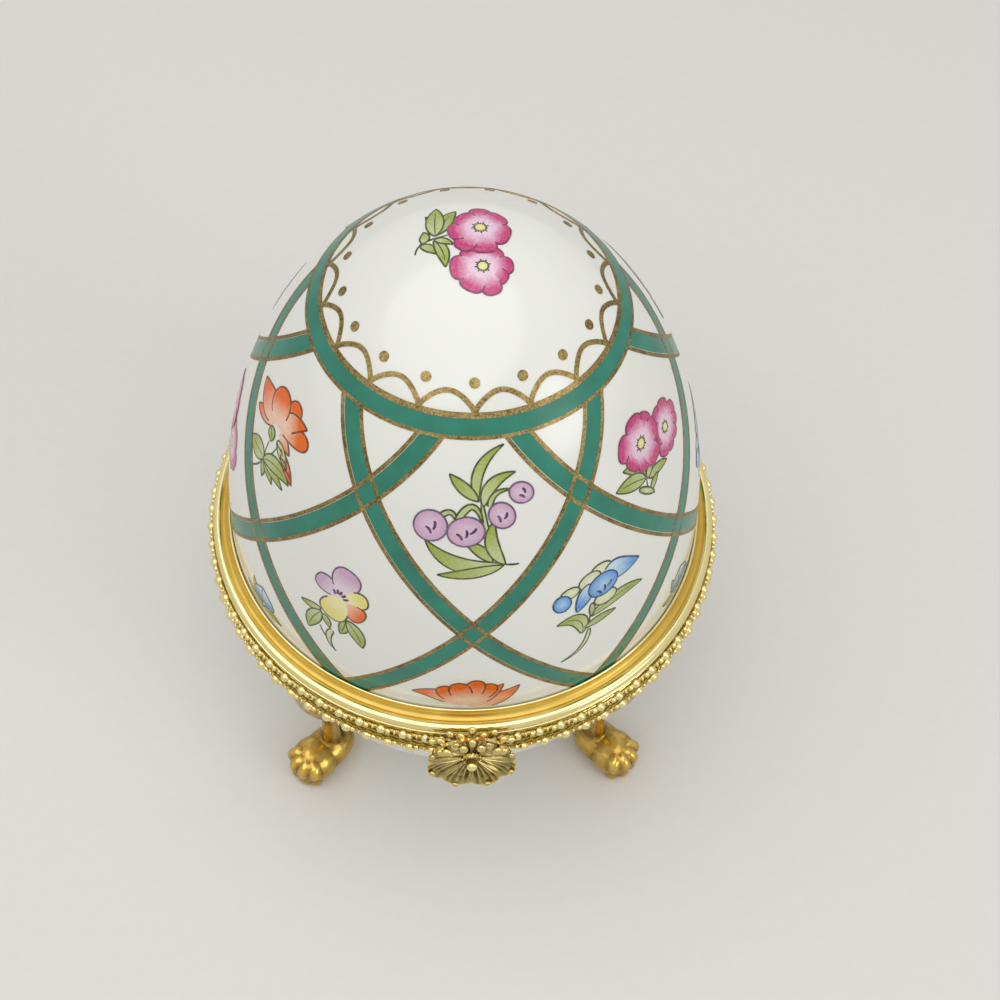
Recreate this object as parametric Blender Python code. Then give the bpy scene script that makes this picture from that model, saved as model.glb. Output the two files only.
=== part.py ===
"""Hinged porcelain egg trinket box on four gilt paw feet.

The porcelain lid and bowl each sit in a gilt bezel. The bezels meet at the
seam, carry beaded wire, and join at a knuckle hinge behind and a forked
catch in front, under the flower rosette. Lengths are in millimetres; MM
turns them into metres. +Z is up, the clasp faces -Y, and the floor is z = 0.
"""
from math import asin, cos, degrees, pi, radians, sin, sqrt

import bmesh
import bpy
from mathutils import Matrix, Vector

MM = 0.001

# Egg
EGG_RADIUS = 36.5            # greatest outer radius of the porcelain
EQUATOR_HEIGHT = 3.4         # widest girth above the seam
LID_HEIGHT = 62.7            # seam to crown
LID_FULLNESS = 2.03          # superellipse power of the upper half
BOWL_DEPTH = 37.5            # seam to the underside of the bowl
BOWL_FULLNESS = 2.8          # superellipse power of the lower half
PORCELAIN_WALL = 2.4
SEAM_HEIGHT = 40.5           # floor to seam, set by the legs

# Fits
SEAT_GAP = 0.3               # between pieces that rest on or are soldered to each other
RUN_GAP = 0.3                # between pieces that move past each other

# Bezels, measured from the seam and the egg's surface
BEZEL_HEIGHT = 5.4           # seam to the edge on the porcelain
BEZEL_WALL = 2.05            # seat gap to the wall that carries the beading
BEZEL_LIP = 0.45             # thin edge lying on the porcelain
ROLL_RISE = 3.95             # middle of the rolled moulding above the seam
ROLL_RADIUS = 0.75
ROLL_REACH = 0.6             # roll's outer face beyond the wall
RIDGE_RISE = 2.85            # middle of the thin ridge above the beading
RIDGE_REACH = 0.55
GROOVE_REACH = 0.1           # floor of the groove between the ridge and the roll
RIDGE_THICKNESS = 0.3
FLANGE_THICKNESS = 0.85
COLLAR_STEP = 0.4            # collar's bore outside the porcelain's bore
COLLAR_WALL = 0.8            # collar that locates the lid
COLLAR_RISE = 0.6

# Beaded wire
BEADS_PER_TURN = 75
BEAD_RADIUS = 0.85
BEAD_NECK_RADIUS = 0.42
BEAD_RISE = 1.55             # wire's middle above the seam
BEAD_SIDES = 5

# Hinge
HINGE_WIDTH = 18.0
LID_KNUCKLE_WIDTH = 7.7
KNUCKLE_RADIUS = 1.5
KNUCKLE_SETBACK = 0.3        # knuckle clear of the leaf plates
PIN_RADIUS = 0.55
PIN_HEAD_RADIUS = 0.95
PIN_HEAD_LENGTH = 0.8
LEAF_THICKNESS = 0.95
LEAF_RISE = 2.4              # leaf's far edge above the seam
ARM_OVERLAP = 0.4            # knuckle arms and stop shelf run this far into their leaf
BORE_SIDES = 16
OPEN_ANGLE = 75.0            # degrees, where the heel meets the stop shelf and the box still stands
HEEL_REACH = 2.6             # heel's tip from the pin's middle
HEEL_THICKNESS = 0.9
SHELF_THICKNESS = 1.0

# Clasp
TONGUE_WIDTH = 6.0
TONGUE_THICKNESS = 0.8
TONGUE_RISE = 2.3            # the tongue's reach above and below the seam
STUD_RADIUS = 0.65
STUD_DROP = 1.6              # stud's middle below the seam
ROSETTE_RADIUS = 6.7
ROSETTE_PETALS = 8
ROSETTE_CUP = 1.1            # petal tips curl forward of the back by this much
ROSETTE_RIM = 0.8            # thickness at the petal tips
ROSETTE_CROWN = 1.3          # height of the petals' ridge over the back
ROSETTE_EYE_RADIUS = 1.5
ROSETTE_EYE_HEIGHT = 3.2     # top of the centre bead over the back
ROSETTE_POST_RADIUS = 0.9
ROSETTE_STANDOFF = 0.45      # back of the petals clear of the beading

# Legs
LEG_AZIMUTH = 45.5           # degrees from the clasp, and from the hinge behind
LEG_WIDTH = 2.9
LEG_KNEE_WIDTH = 6.4
LEG_THICKNESS = 1.5
ANKLE_RADIUS = 31.8          # the leg leaves the bowl here and drops straight
ANKLE_HEIGHT = 4.6
ANKLE_SIZE = 3.4
STEM_SINK = 2.2              # stem runs this far below the ankle, into the paw
STEM_STANDOFF = 0.15         # extra room behind the stem where the bowl's wall slants
STEM_LEVELS = 14
STEM_BLEND = 40              # power that rounds the stem's turn from the bowl to its straight drop
PAW_RADIUS = 34.1            # paw's middle from the egg's axis
PAW_LENGTH = 12.4
PAW_WIDTH = 7.3
PAW_HEIGHT = 6.2
PAW_SINK = 0.5               # depth of the flat sole cut
BALL_RADIUS = 4.0            # ball of the paw, behind the toes
BALL_HALF_HEIGHT = 3.5
BALL_RISE = 3.2              # its middle above the floor
BALL_REACH = 2.6             # its middle outward from the paw's middle
TOE_RADIUS = 1.4
TOE_COUNT = 4
TOE_SPREAD = 34.0            # degrees between neighbouring toes, from the ball's middle
TOE_REACH = 2.8              # toes' middle from the ball's middle
TOE_RISE = 2.5               # toes' middle above the floor

# Fineness of the turned surfaces
TURN_STEPS = 48
LID_STEPS = 11
BOWL_STEPS = 10

WALL_RADIUS = EGG_RADIUS + SEAT_GAP + BEZEL_WALL
SEAM_HALF_GAP = RUN_GAP / 2
PORCELAIN_SEAT = SEAM_HALF_GAP + FLANGE_THICKNESS + SEAT_GAP
COLLAR_INNER = EGG_RADIUS - PORCELAIN_WALL + COLLAR_STEP
COLLAR_OUTER = COLLAR_INNER + COLLAR_WALL
BEAD_CENTRE = WALL_RADIUS + SEAT_GAP + BEAD_RADIUS
LEAF_INNER = WALL_RADIUS + SEAT_GAP
LEAF_OUTER = LEAF_INNER + LEAF_THICKNESS
HINGE_Y = LEAF_OUTER + KNUCKLE_SETBACK + KNUCKLE_RADIUS
PIN_BORE_RADIUS = PIN_RADIUS + RUN_GAP


def clear_scene():
    """Remove every object of the open file."""
    for obj in list(bpy.data.objects):
        bpy.data.objects.remove(obj, do_unlink=True)


def make_material(name, colour, roughness, metallic):
    """A Principled material from a linear colour."""
    material = bpy.data.materials.new(name)
    material.use_nodes = True
    shader = material.node_tree.nodes["Principled BSDF"]
    shader.inputs["Base Color"].default_value = (*colour, 1.0)
    shader.inputs["Roughness"].default_value = roughness
    shader.inputs["Metallic"].default_value = metallic
    return material


def mesh_from(name, points, faces):
    """A smooth-shaded mesh of points in millimetres, its faces turned outward."""
    mesh = bpy.data.meshes.new(name)
    mesh.from_pydata([Vector(point) * MM for point in points], [], faces)
    bm = bmesh.new()
    bm.from_mesh(mesh)
    bmesh.ops.recalc_face_normals(bm, faces=bm.faces)
    bm.to_mesh(mesh)
    bm.free()
    mesh.shade_smooth()
    mesh.set_sharp_from_angle(angle=radians(38))
    return mesh


def place(name, mesh, material, parent, location=(0, 0, 0), turn=0.0):
    """Put a mesh in the scene as one named piece; location is in millimetres."""
    obj = bpy.data.objects.new(name, mesh)
    bpy.context.scene.collection.objects.link(obj)
    if not mesh.materials:
        mesh.materials.append(material)
    obj.parent = parent
    obj.location = Vector(location) * MM
    obj.rotation_euler = (0, 0, turn)
    return obj


def make_frame(name, location, parent=None):
    """An empty that carries one group of pieces; location is in millimetres."""
    frame = bpy.data.objects.new(name, None)
    bpy.context.scene.collection.objects.link(frame)
    frame.parent = parent
    frame.location = Vector(location) * MM
    return frame


def turned(name, profile, steps=TURN_STEPS):
    """Turn a closed (radius, height) profile about Z; a zero radius is a pole."""
    points = []
    rings = []
    for radius, height in profile:
        if radius < 1e-6:
            rings.append([len(points)] * steps)
            points.append((0, 0, height))
            continue
        rings.append(list(range(len(points), len(points) + steps)))
        for step in range(steps):
            angle = 2 * pi * step / steps
            points.append((radius * cos(angle), radius * sin(angle), height))
    faces = []
    for ring, following in zip(rings, rings[1:] + rings[:1]):
        if ring[0] == ring[1] and following[0] == following[1]:
            continue
        for step in range(steps):
            after = (step + 1) % steps
            corners = [ring[step], ring[after], following[after], following[step]]
            faces.append(list(dict.fromkeys(corners)))
    return mesh_from(name, points, faces)


def extruded(name, outline, low, high, along="X"):
    """Extrude an outline between two stations along X (outline in y, z) or Y (in x, z)."""
    points = []
    for station in (low, high):
        for first, second in outline:
            points.append((station, first, second) if along == "X" else (first, station, second))
    count = len(outline)
    faces = [list(range(count)), list(range(2 * count - 1, count - 1, -1))]
    for corner in range(count):
        after = (corner + 1) % count
        faces.append([corner, corner + count, after + count, after])
    return mesh_from(name, points, faces)


def ellipsoid(name, centre, semi_axes, steps=12, rings=7):
    """A closed ellipsoid with its poles along Z."""
    points = [(centre[0], centre[1], centre[2] + semi_axes[2])]
    for ring in range(1, rings):
        polar = pi * ring / rings
        for step in range(steps):
            angle = 2 * pi * step / steps
            points.append((centre[0] + semi_axes[0] * sin(polar) * cos(angle),
                           centre[1] + semi_axes[1] * sin(polar) * sin(angle),
                           centre[2] + semi_axes[2] * cos(polar)))
    points.append((centre[0], centre[1], centre[2] - semi_axes[2]))
    last = len(points) - 1
    faces = []
    for step in range(steps):
        after = (step + 1) % steps
        faces.append([0, 1 + step, 1 + after])
        base = 1 + (rings - 2) * steps
        faces.append([last, base + after, base + step])
        for ring in range(rings - 2):
            top = 1 + ring * steps
            faces.append([top + step, top + steps + step, top + steps + after, top + after])
    return mesh_from(name, points, faces)


def combine(name, body, others):
    """Apply a chain of exact Booleans to a mesh: (operation, mesh) pairs in order."""
    scene = bpy.context.scene.collection
    worker = bpy.data.objects.new(name, body)
    scene.objects.link(worker)
    helpers = []
    for operation, mesh in others:
        helper = bpy.data.objects.new(name + "_helper", mesh)
        helper.hide_render = True
        helper.display_type = "WIRE"
        scene.objects.link(helper)
        helpers.append(helper)
        boolean = worker.modifiers.new(operation.lower(), "BOOLEAN")
        boolean.operation = operation
        boolean.solver = "EXACT"
        boolean.object = helper
    graph = bpy.context.evaluated_depsgraph_get()
    result = bpy.data.meshes.new_from_object(worker.evaluated_get(graph))
    result.name = name
    for obj in [worker, *helpers]:
        bpy.data.objects.remove(obj, do_unlink=True)
    result.materials.clear()
    result.shade_smooth()
    result.set_sharp_from_angle(angle=radians(38))
    return result


def egg_half(radius, height, fullness, turn):
    """Point of an egg half at a turn angle from the equator: (radius, rise)."""
    return radius * cos(turn) ** (2 / fullness), height * sin(turn) ** (2 / fullness)


def turn_at_rise(height, fullness, rise):
    """Turn angle at which an egg half has the given rise."""
    return asin(min(1.0, (rise / height) ** (fullness / 2)))


def bowl_outer_radius(depth):
    """Outer radius of the bowl at a depth below the seam."""
    rise = min(1.0, (depth + EQUATOR_HEIGHT) / (BOWL_DEPTH + EQUATOR_HEIGHT))
    return EGG_RADIUS * (1 - rise ** BOWL_FULLNESS) ** (1 / BOWL_FULLNESS)


def half_profile(radius, height, fullness, start_rise, steps, sign):
    """Profile of an egg half from a start rise to its pole, both from the equator."""
    first = turn_at_rise(height, fullness, abs(start_rise)) * (1 if start_rise > 0 else -1)
    profile = []
    for step in range(steps + 1):
        turn = first + (pi / 2 - first) * step / steps
        if turn < 0:
            ring, rise = egg_half(radius, height, fullness, -turn)
            rise = -rise
        else:
            ring, rise = egg_half(radius, height, fullness, turn)
        profile.append((ring if step < steps else 0.0, EQUATOR_HEIGHT + sign * rise))
    return profile


def lid_shell():
    """The dome: outside from the rim to the crown, then the inside back down."""
    rise = LID_HEIGHT - EQUATOR_HEIGHT
    start = PORCELAIN_SEAT - EQUATOR_HEIGHT
    outer = half_profile(EGG_RADIUS, rise, LID_FULLNESS, start, LID_STEPS, 1)
    inner = half_profile(EGG_RADIUS - PORCELAIN_WALL, rise - PORCELAIN_WALL, LID_FULLNESS,
                         start, LID_STEPS - 1, 1)
    return turned("lid_shell", outer + inner[::-1])


def base_shell():
    """The bowl: outside from the rim to the underside, then the inside back up."""
    drop = BOWL_DEPTH + EQUATOR_HEIGHT
    start = PORCELAIN_SEAT + EQUATOR_HEIGHT
    outer = half_profile(EGG_RADIUS, drop, BOWL_FULLNESS, start, BOWL_STEPS, -1)
    inner = half_profile(EGG_RADIUS - PORCELAIN_WALL, drop - PORCELAIN_WALL, BOWL_FULLNESS,
                         start, BOWL_STEPS - 1, -1)
    return turned("base_shell", outer + inner[::-1])


def bezel_profile(flange_inner):
    """Section of a bezel above the seam, from the seam face round to the flange."""
    wall = WALL_RADIUS
    bore = EGG_RADIUS + SEAT_GAP
    roll_middle = wall + ROLL_REACH - ROLL_RADIUS
    profile = [(wall, SEAM_HALF_GAP), (wall, RIDGE_RISE - RIDGE_THICKNESS / 2)]
    profile.append((wall + RIDGE_REACH, RIDGE_RISE - RIDGE_THICKNESS / 2))
    profile.append((wall + RIDGE_REACH, RIDGE_RISE + RIDGE_THICKNESS / 2))
    profile.append((wall + GROOVE_REACH, RIDGE_RISE + RIDGE_THICKNESS / 2))
    for turn in (-60, -15, 30, 75, 120):
        angle = radians(turn)
        profile.append((roll_middle + ROLL_RADIUS * cos(angle), ROLL_RISE + ROLL_RADIUS * sin(angle)))
    cove_radius = roll_middle - ROLL_RADIUS - bore - BEZEL_LIP
    cove_rise = BEZEL_HEIGHT - ROLL_RISE
    for turn in (80, 45, 10):
        angle = radians(turn)
        profile.append((bore + BEZEL_LIP + cove_radius * (1 - cos(angle)),
                        BEZEL_HEIGHT - cove_rise * sin(angle)))
    profile.append((bore + BEZEL_LIP, BEZEL_HEIGHT))
    profile.append((bore, BEZEL_HEIGHT))
    profile.append((bore, SEAM_HALF_GAP + FLANGE_THICKNESS))
    profile.append((flange_inner, SEAM_HALF_GAP + FLANGE_THICKNESS))
    profile.append((flange_inner, SEAM_HALF_GAP))
    return profile


def lid_bezel():
    """Rim of the lid; its flange clears the base's collar."""
    return turned("lid_bezel", bezel_profile(COLLAR_OUTER + RUN_GAP))


def base_bezel():
    """Rim of the bowl: the same section turned over, with the collar on its flange."""
    profile = [(radius, -height) for radius, height in bezel_profile(COLLAR_INNER)]
    profile += [(COLLAR_INNER, COLLAR_RISE), (COLLAR_OUTER, COLLAR_RISE), (COLLAR_OUTER, -SEAM_HALF_GAP)]
    return turned("base_bezel", profile)


def bead_numbers():
    """Beads of one strip, counted from the clasp: clear of the tongue and of the hinge."""
    pitch = 360 / BEADS_PER_TURN
    front = degrees(asin((TONGUE_WIDTH / 2 + RUN_GAP) / BEAD_CENTRE))
    back = degrees(asin((HINGE_WIDTH / 2 + RUN_GAP) / BEAD_CENTRE))
    numbers = range(1, BEADS_PER_TURN // 2)
    return [n for n in numbers if (n - 0.5) * pitch > front and (n + 0.5) * pitch < 180 - back]


def beading(name, side, height):
    """One strip of beaded wire: a tube that swells at each bead; side is -1 left, +1 right."""
    pitch = 2 * pi / BEADS_PER_TURN
    stations = []
    for number in bead_numbers():
        stations += [((number - 0.5) * pitch, BEAD_NECK_RADIUS),
                     ((number - 0.2) * pitch, BEAD_RADIUS),
                     ((number + 0.2) * pitch, BEAD_RADIUS)]
    stations.append(((bead_numbers()[-1] + 0.5) * pitch, BEAD_NECK_RADIUS))
    points = []
    for azimuth, size in stations:
        for corner in range(BEAD_SIDES):
            angle = 2 * pi * corner / BEAD_SIDES
            radius = BEAD_CENTRE + size * cos(angle)
            points.append((side * radius * sin(azimuth), -radius * cos(azimuth),
                           height + size * sin(angle)))
    last = len(points) - BEAD_SIDES
    faces = [list(range(BEAD_SIDES)), list(range(last, last + BEAD_SIDES))]
    for station in range(len(stations) - 1):
        first = station * BEAD_SIDES
        for corner in range(BEAD_SIDES):
            after = (corner + 1) % BEAD_SIDES
            faces.append([first + corner, first + after,
                          first + BEAD_SIDES + after, first + BEAD_SIDES + corner])
    return mesh_from(name, points, faces)


def knuckle_outline(sign, heel):
    """Knuckle with its arm, in (y, z) about the seam; sign is +1 for the lid's, -1 for the base's."""
    arm_start = LEAF_OUTER - ARM_OVERLAP
    outline = [(arm_start, sign * SEAM_HALF_GAP * 2), (arm_start, sign * KNUCKLE_RADIUS)]
    heel_turn = degrees(asin(HEEL_THICKNESS / 2 / KNUCKLE_RADIUS))
    end_turn = -180 + degrees(asin(SEAM_HALF_GAP * 2 / KNUCKLE_RADIUS))
    turns = [90, 65, 40]
    if heel:
        outline_heel = [(HINGE_Y + HEEL_REACH, HEEL_THICKNESS / 2),
                        (HINGE_Y + HEEL_REACH, -HEEL_THICKNESS / 2)]
        turns = [90, 65, 40, heel_turn, None, -heel_turn]
    else:
        turns += [15, -15]
    turns += [-40, -65, -90, -115, -140, end_turn]
    for turn in turns:
        if turn is None:
            outline += outline_heel
            continue
        angle = radians(turn)
        outline.append((HINGE_Y + KNUCKLE_RADIUS * cos(angle), sign * KNUCKLE_RADIUS * sin(angle)))
    return outline


def leaf_plate(name, sign):
    """Leaf plate across the hinge's width, before it is hollowed to the bezel's wall."""
    inner = sqrt(LEAF_INNER ** 2 - (HINGE_WIDTH / 2) ** 2) - LEAF_THICKNESS
    low = sign * SEAM_HALF_GAP * 2
    high = sign * LEAF_RISE
    outline = [(inner, low), (LEAF_OUTER, low), (LEAF_OUTER, high), (inner, high)]
    return extruded(name, outline, -HINGE_WIDTH / 2, HINGE_WIDTH / 2)


def bezel_cutter():
    """Cylinder that hollows a leaf to follow the bezel's wall."""
    half = LEAF_RISE + 2
    return turned("bezel_cutter", [(0, -half), (LEAF_INNER, -half), (LEAF_INNER, half), (0, half)])


def pin_cutter():
    """Bore for the hinge pin, along X."""
    outline = [(HINGE_Y + PIN_BORE_RADIUS * cos(2 * pi * n / BORE_SIDES),
                PIN_BORE_RADIUS * sin(2 * pi * n / BORE_SIDES)) for n in range(BORE_SIDES)]
    return extruded("pin_cutter", outline, -HINGE_WIDTH, HINGE_WIDTH)


def lid_hinge_leaf():
    """Lid's leaf with the middle knuckle and the stop heel behind it."""
    half = LID_KNUCKLE_WIDTH / 2
    arm = extruded("arm", knuckle_outline(1, True), -half, half)
    return combine("lid_hinge_leaf", leaf_plate("plate", 1),
                   [("UNION", arm), ("DIFFERENCE", pin_cutter()), ("DIFFERENCE", bezel_cutter())])


def shelf_outline():
    """Stop shelf under the middle knuckle; its end lies flat on the heel at full opening."""
    angle = radians(OPEN_ANGLE)
    along = Vector((cos(angle), -sin(angle)))
    across = Vector((-sin(angle), -cos(angle)))
    offset = HEEL_THICKNESS / 2 + RUN_GAP
    top = KNUCKLE_RADIUS + RUN_GAP
    bottom = top + SHELF_THICKNESS
    start = LEAF_OUTER - ARM_OVERLAP
    corners = [(start, -top)]
    for depth in (top, bottom):
        reach = (depth + across.y * offset) / -along.y
        point = along * reach + across * offset
        corners.append((HINGE_Y + point.x, point.y))
    corners.append((start, -bottom))
    return corners


def base_hinge_leaf():
    """Base's leaf with the two outer knuckles and the stop shelf between them."""
    inner = LID_KNUCKLE_WIDTH / 2 + RUN_GAP
    outer = HINGE_WIDTH / 2
    outline = knuckle_outline(-1, False)
    left = extruded("left_arm", outline, -outer, -inner)
    right = extruded("right_arm", outline, inner, outer)
    shelf = extruded("shelf", shelf_outline(), -inner + RUN_GAP, inner - RUN_GAP)
    return combine("base_hinge_leaf", leaf_plate("plate", -1),
                   [("UNION", left), ("UNION", right), ("UNION", shelf),
                    ("DIFFERENCE", pin_cutter()), ("DIFFERENCE", bezel_cutter())])


def hinge_pin():
    """Headed pin, turned about its own axis and laid along X."""
    half = HINGE_WIDTH / 2 + RUN_GAP
    tip = half + PIN_HEAD_LENGTH
    profile = [(0, -tip), (PIN_HEAD_RADIUS * 0.7, -tip + 0.15), (PIN_HEAD_RADIUS, -half - 0.2),
               (PIN_HEAD_RADIUS, -half), (PIN_RADIUS, -half)]
    profile += [(radius, -height) for radius, height in profile[::-1]]
    mesh = turned("hinge_pin", profile, 12)
    mesh.transform(Matrix.Rotation(pi / 2, 4, "Y"))
    return mesh


def clasp_tongue():
    """Forked plate on the lid's wall: its slot, open below, snaps over the stud."""
    half = TONGUE_WIDTH / 2
    slot = STUD_RADIUS + RUN_GAP
    arch = [(slot * cos(pi * n / 6), -STUD_DROP + slot * sin(pi * n / 6)) for n in range(7)]
    outline = [(slot, -TONGUE_RISE), *arch, (-slot, -TONGUE_RISE), (-half, -TONGUE_RISE),
               (-half, TONGUE_RISE - 0.6), (-half + 0.6, TONGUE_RISE),
               (half - 0.6, TONGUE_RISE), (half, TONGUE_RISE - 0.6), (half, -TONGUE_RISE)]
    front = -LEAF_INNER - TONGUE_THICKNESS
    return extruded("clasp_tongue", outline, front, front + TONGUE_THICKNESS, along="Y")


def catch_stud():
    """Round stud on the base's wall, no longer than the tongue is thick."""
    turns = [2 * pi * n / BORE_SIDES for n in range(BORE_SIDES)]
    outline = [(STUD_RADIUS * cos(turn), -STUD_DROP + STUD_RADIUS * sin(turn)) for turn in turns]
    front = -LEAF_INNER - TONGUE_THICKNESS
    return extruded("catch_stud", outline, front, front + TONGUE_THICKNESS, along="Y")


def rosette():
    """Flower thumb-piece: cupped petals round a centre bead, with a post to the tongue."""
    steps = ROSETTE_PETALS * 5
    back = 0.0
    eye = ROSETTE_EYE_RADIUS
    tip = ROSETTE_CUP + ROSETTE_RIM
    rings = [(0.35 * eye, ROSETTE_EYE_HEIGHT - 0.12, 0.0), (0.75 * eye, ROSETTE_EYE_HEIGHT - 0.55, 0.0),
             (eye, ROSETTE_CROWN - 0.35, 0.0), (0.48 * ROSETTE_RADIUS, ROSETTE_CROWN, 0.35),
             (0.76 * ROSETTE_RADIUS, (ROSETTE_CROWN + tip) / 2, 0.7),
             (ROSETTE_RADIUS, tip, 1.0), (ROSETTE_RADIUS, ROSETTE_CUP, 1.0),
             (0.55 * ROSETTE_RADIUS, back, 0.0), (ROSETTE_POST_RADIUS, back, 0.0)]
    front = -LEAF_INNER - TONGUE_THICKNESS
    back_y = -(BEAD_CENTRE + BEAD_RADIUS + ROSETTE_STANDOFF)
    post_y = front - SEAT_GAP
    points = [(0, back_y - ROSETTE_EYE_HEIGHT, 0)]
    for radius, lift, scallop in rings:
        for step in range(steps):
            angle = 2 * pi * step / steps
            lobe = abs(cos(angle * ROSETTE_PETALS / 2))
            reach = radius * (1 - 0.16 * scallop * (1 - lobe))
            ridge = lift - 0.45 * scallop * (1 - lobe)
            points.append((reach * sin(angle), back_y - ridge, reach * cos(angle)))
    for step in range(steps):
        angle = 2 * pi * step / steps
        points.append((ROSETTE_POST_RADIUS * sin(angle), post_y, ROSETTE_POST_RADIUS * cos(angle)))
    points.append((0, post_y, 0))
    faces = []
    for step in range(steps):
        after = (step + 1) % steps
        faces.append([0, 1 + step, 1 + after])
        for ring in range(len(rings)):
            first = 1 + ring * steps
            faces.append([first + step, first + steps + step, first + steps + after, first + after])
        last = 1 + len(rings) * steps
        faces.append([last + step, len(points) - 1, last + after])
    return mesh_from("clasp_rosette", points, faces)


def leg_section(depth):
    """Middle radius, width and thickness of the leg at a depth below the seam."""
    top = BEZEL_HEIGHT
    bottom = SEAM_HEIGHT - ANKLE_HEIGHT
    share = (depth - top) / (bottom - top)
    knee = max(0.0, 1 - share * 2.6)
    width = LEG_WIDTH + (LEG_KNEE_WIDTH - LEG_WIDTH) * knee * knee * (3 - 2 * knee)
    ankle = max(0.0, (share - 0.72) / 0.28)
    width += (ANKLE_SIZE - LEG_WIDTH) * ankle
    thickness = LEG_THICKNESS + (ANKLE_SIZE - LEG_THICKNESS) * ankle
    hugging = bowl_outer_radius(depth) + SEAT_GAP + LEG_THICKNESS / 2 + STEM_STANDOFF
    middle = (hugging ** STEM_BLEND + ANKLE_RADIUS ** STEM_BLEND) ** (1 / STEM_BLEND)
    return middle, width, thickness


def leg_stem():
    """Leg from under the bezel to inside the paw, lofted through eight-sided sections."""
    top = BEZEL_HEIGHT + SEAT_GAP
    bottom = SEAM_HEIGHT - ANKLE_HEIGHT + STEM_SINK
    corners = [(-1, -0.55), (-0.55, -1), (0.55, -1), (1, -0.55),
               (1, 0.3), (0.45, 0.85), (-0.45, 0.85), (-1, 0.3)]
    points = []
    for level in range(STEM_LEVELS + 1):
        depth = top + (bottom - top) * level / STEM_LEVELS
        middle, width, thickness = leg_section(depth)
        for across, outward in corners:
            points.append((across * width / 2, -(middle + outward * thickness / 2), -depth))
    count = len(corners)
    last = STEM_LEVELS * count
    faces = [list(range(count)), list(range(last, last + count))]
    for level in range(STEM_LEVELS):
        first = level * count
        for corner in range(count):
            after = (corner + 1) % count
            faces.append([first + corner, first + after, first + count + after, first + count + corner])
    return mesh_from("leg_stem", points, faces)


def leg():
    """One cast leg facing -Y: stem, paw and toes in one body, cut flat at the sole."""
    floor = -SEAM_HEIGHT
    paw_height = floor + PAW_HEIGHT / 2 - PAW_SINK
    paw = ellipsoid("paw", (0, -PAW_RADIUS, paw_height),
                    (PAW_WIDTH / 2, PAW_LENGTH / 2, PAW_HEIGHT / 2), 14, 8)
    ball_radius = PAW_RADIUS + BALL_REACH
    ball = ellipsoid("ball", (0, -ball_radius, floor + BALL_RISE),
                     (BALL_RADIUS, BALL_RADIUS, BALL_HALF_HEIGHT), 14, 8)
    steps = [("UNION", paw), ("UNION", ball)]
    for toe in range(TOE_COUNT):
        angle = radians((toe - (TOE_COUNT - 1) / 2) * TOE_SPREAD)
        centre = (TOE_REACH * sin(angle), -(ball_radius + TOE_REACH * cos(angle)), floor + TOE_RISE)
        steps.append(("UNION", ellipsoid("toe", centre, (TOE_RADIUS * 0.85, TOE_RADIUS, TOE_RADIUS), 10, 6)))
    size = PAW_LENGTH
    below = extruded("below", [(-size, floor - size), (size, floor - size), (size, floor), (-size, floor)],
                     -PAW_RADIUS - size, -PAW_RADIUS + size, along="Y")
    steps.append(("DIFFERENCE", below))
    return combine("leg", leg_stem(), steps)


def build():
    """Make every piece and hang it on its frame."""
    clear_scene()
    white = (0.86, 0.86, 0.83)
    polished_gilt = (0.72, 0.45, 0.10)
    satin_gilt = (0.55, 0.34, 0.09)
    box = make_frame("seam_frame", (0, 0, SEAM_HEIGHT))
    lid = make_frame("lid_pivot", (0, HINGE_Y, 0), box)
    to_axis = (0, -HINGE_Y, 0)

    pieces = [
        ("base_shell", base_shell(), white, 0.12, 0.0, box),
        ("base_bezel", base_bezel(), polished_gilt, 0.18, 1.0, box),
        ("base_beading_left", beading("base_beading_left", -1, -BEAD_RISE), polished_gilt, 0.2, 1.0, box),
        ("base_beading_right", beading("base_beading_right", 1, -BEAD_RISE), polished_gilt, 0.2, 1.0, box),
        ("base_hinge_leaf", base_hinge_leaf(), polished_gilt, 0.22, 1.0, box),
        ("catch_stud", catch_stud(), polished_gilt, 0.22, 1.0, box),
        ("lid_shell", lid_shell(), white, 0.12, 0.0, lid),
        ("lid_bezel", lid_bezel(), polished_gilt, 0.18, 1.0, lid),
        ("lid_beading_left", beading("lid_beading_left", -1, BEAD_RISE), polished_gilt, 0.2, 1.0, lid),
        ("lid_beading_right", beading("lid_beading_right", 1, BEAD_RISE), polished_gilt, 0.2, 1.0, lid),
        ("lid_hinge_leaf", lid_hinge_leaf(), polished_gilt, 0.22, 1.0, lid),
        ("clasp_tongue", clasp_tongue(), polished_gilt, 0.22, 1.0, lid),
        ("clasp_rosette", rosette(), polished_gilt, 0.28, 1.0, lid),
    ]
    for name, mesh, colour, roughness, metallic, frame in pieces:
        material = make_material(name, colour, roughness, metallic)
        place(name, mesh, material, frame, to_axis if frame is lid else (0, 0, 0))

    pin_gilt = make_material("hinge_pin", polished_gilt, 0.22, 1.0)
    place("hinge_pin", hinge_pin(), pin_gilt, box, (0, HINGE_Y, 0))

    leg_mesh = leg()
    turns = {"leg_front_right": LEG_AZIMUTH, "leg_front_left": -LEG_AZIMUTH,
             "leg_back_right": 180 - LEG_AZIMUTH, "leg_back_left": LEG_AZIMUTH - 180}
    for name, turn in turns.items():
        mesh = leg_mesh.copy()
        mesh.name = name
        place(name, mesh, make_material(name, satin_gilt, 0.35, 1.0), box, turn=radians(turn))


build()
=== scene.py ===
"""Dressed scene of a hinged porcelain egg trinket box on gilt paw feet.

Lengths are in millimetres in the CAD's frame (floor at z = 0, the egg's axis at
x = y = 0, clasp towards -Y), and MM turns them into metres. The transfers and
painted sprigs lie on the lid's glaze as thin closed patches.
"""
from math import cos, pi, radians, sin

import bmesh
import bpy
import numpy as np
from mathutils import Matrix, Vector


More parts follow.
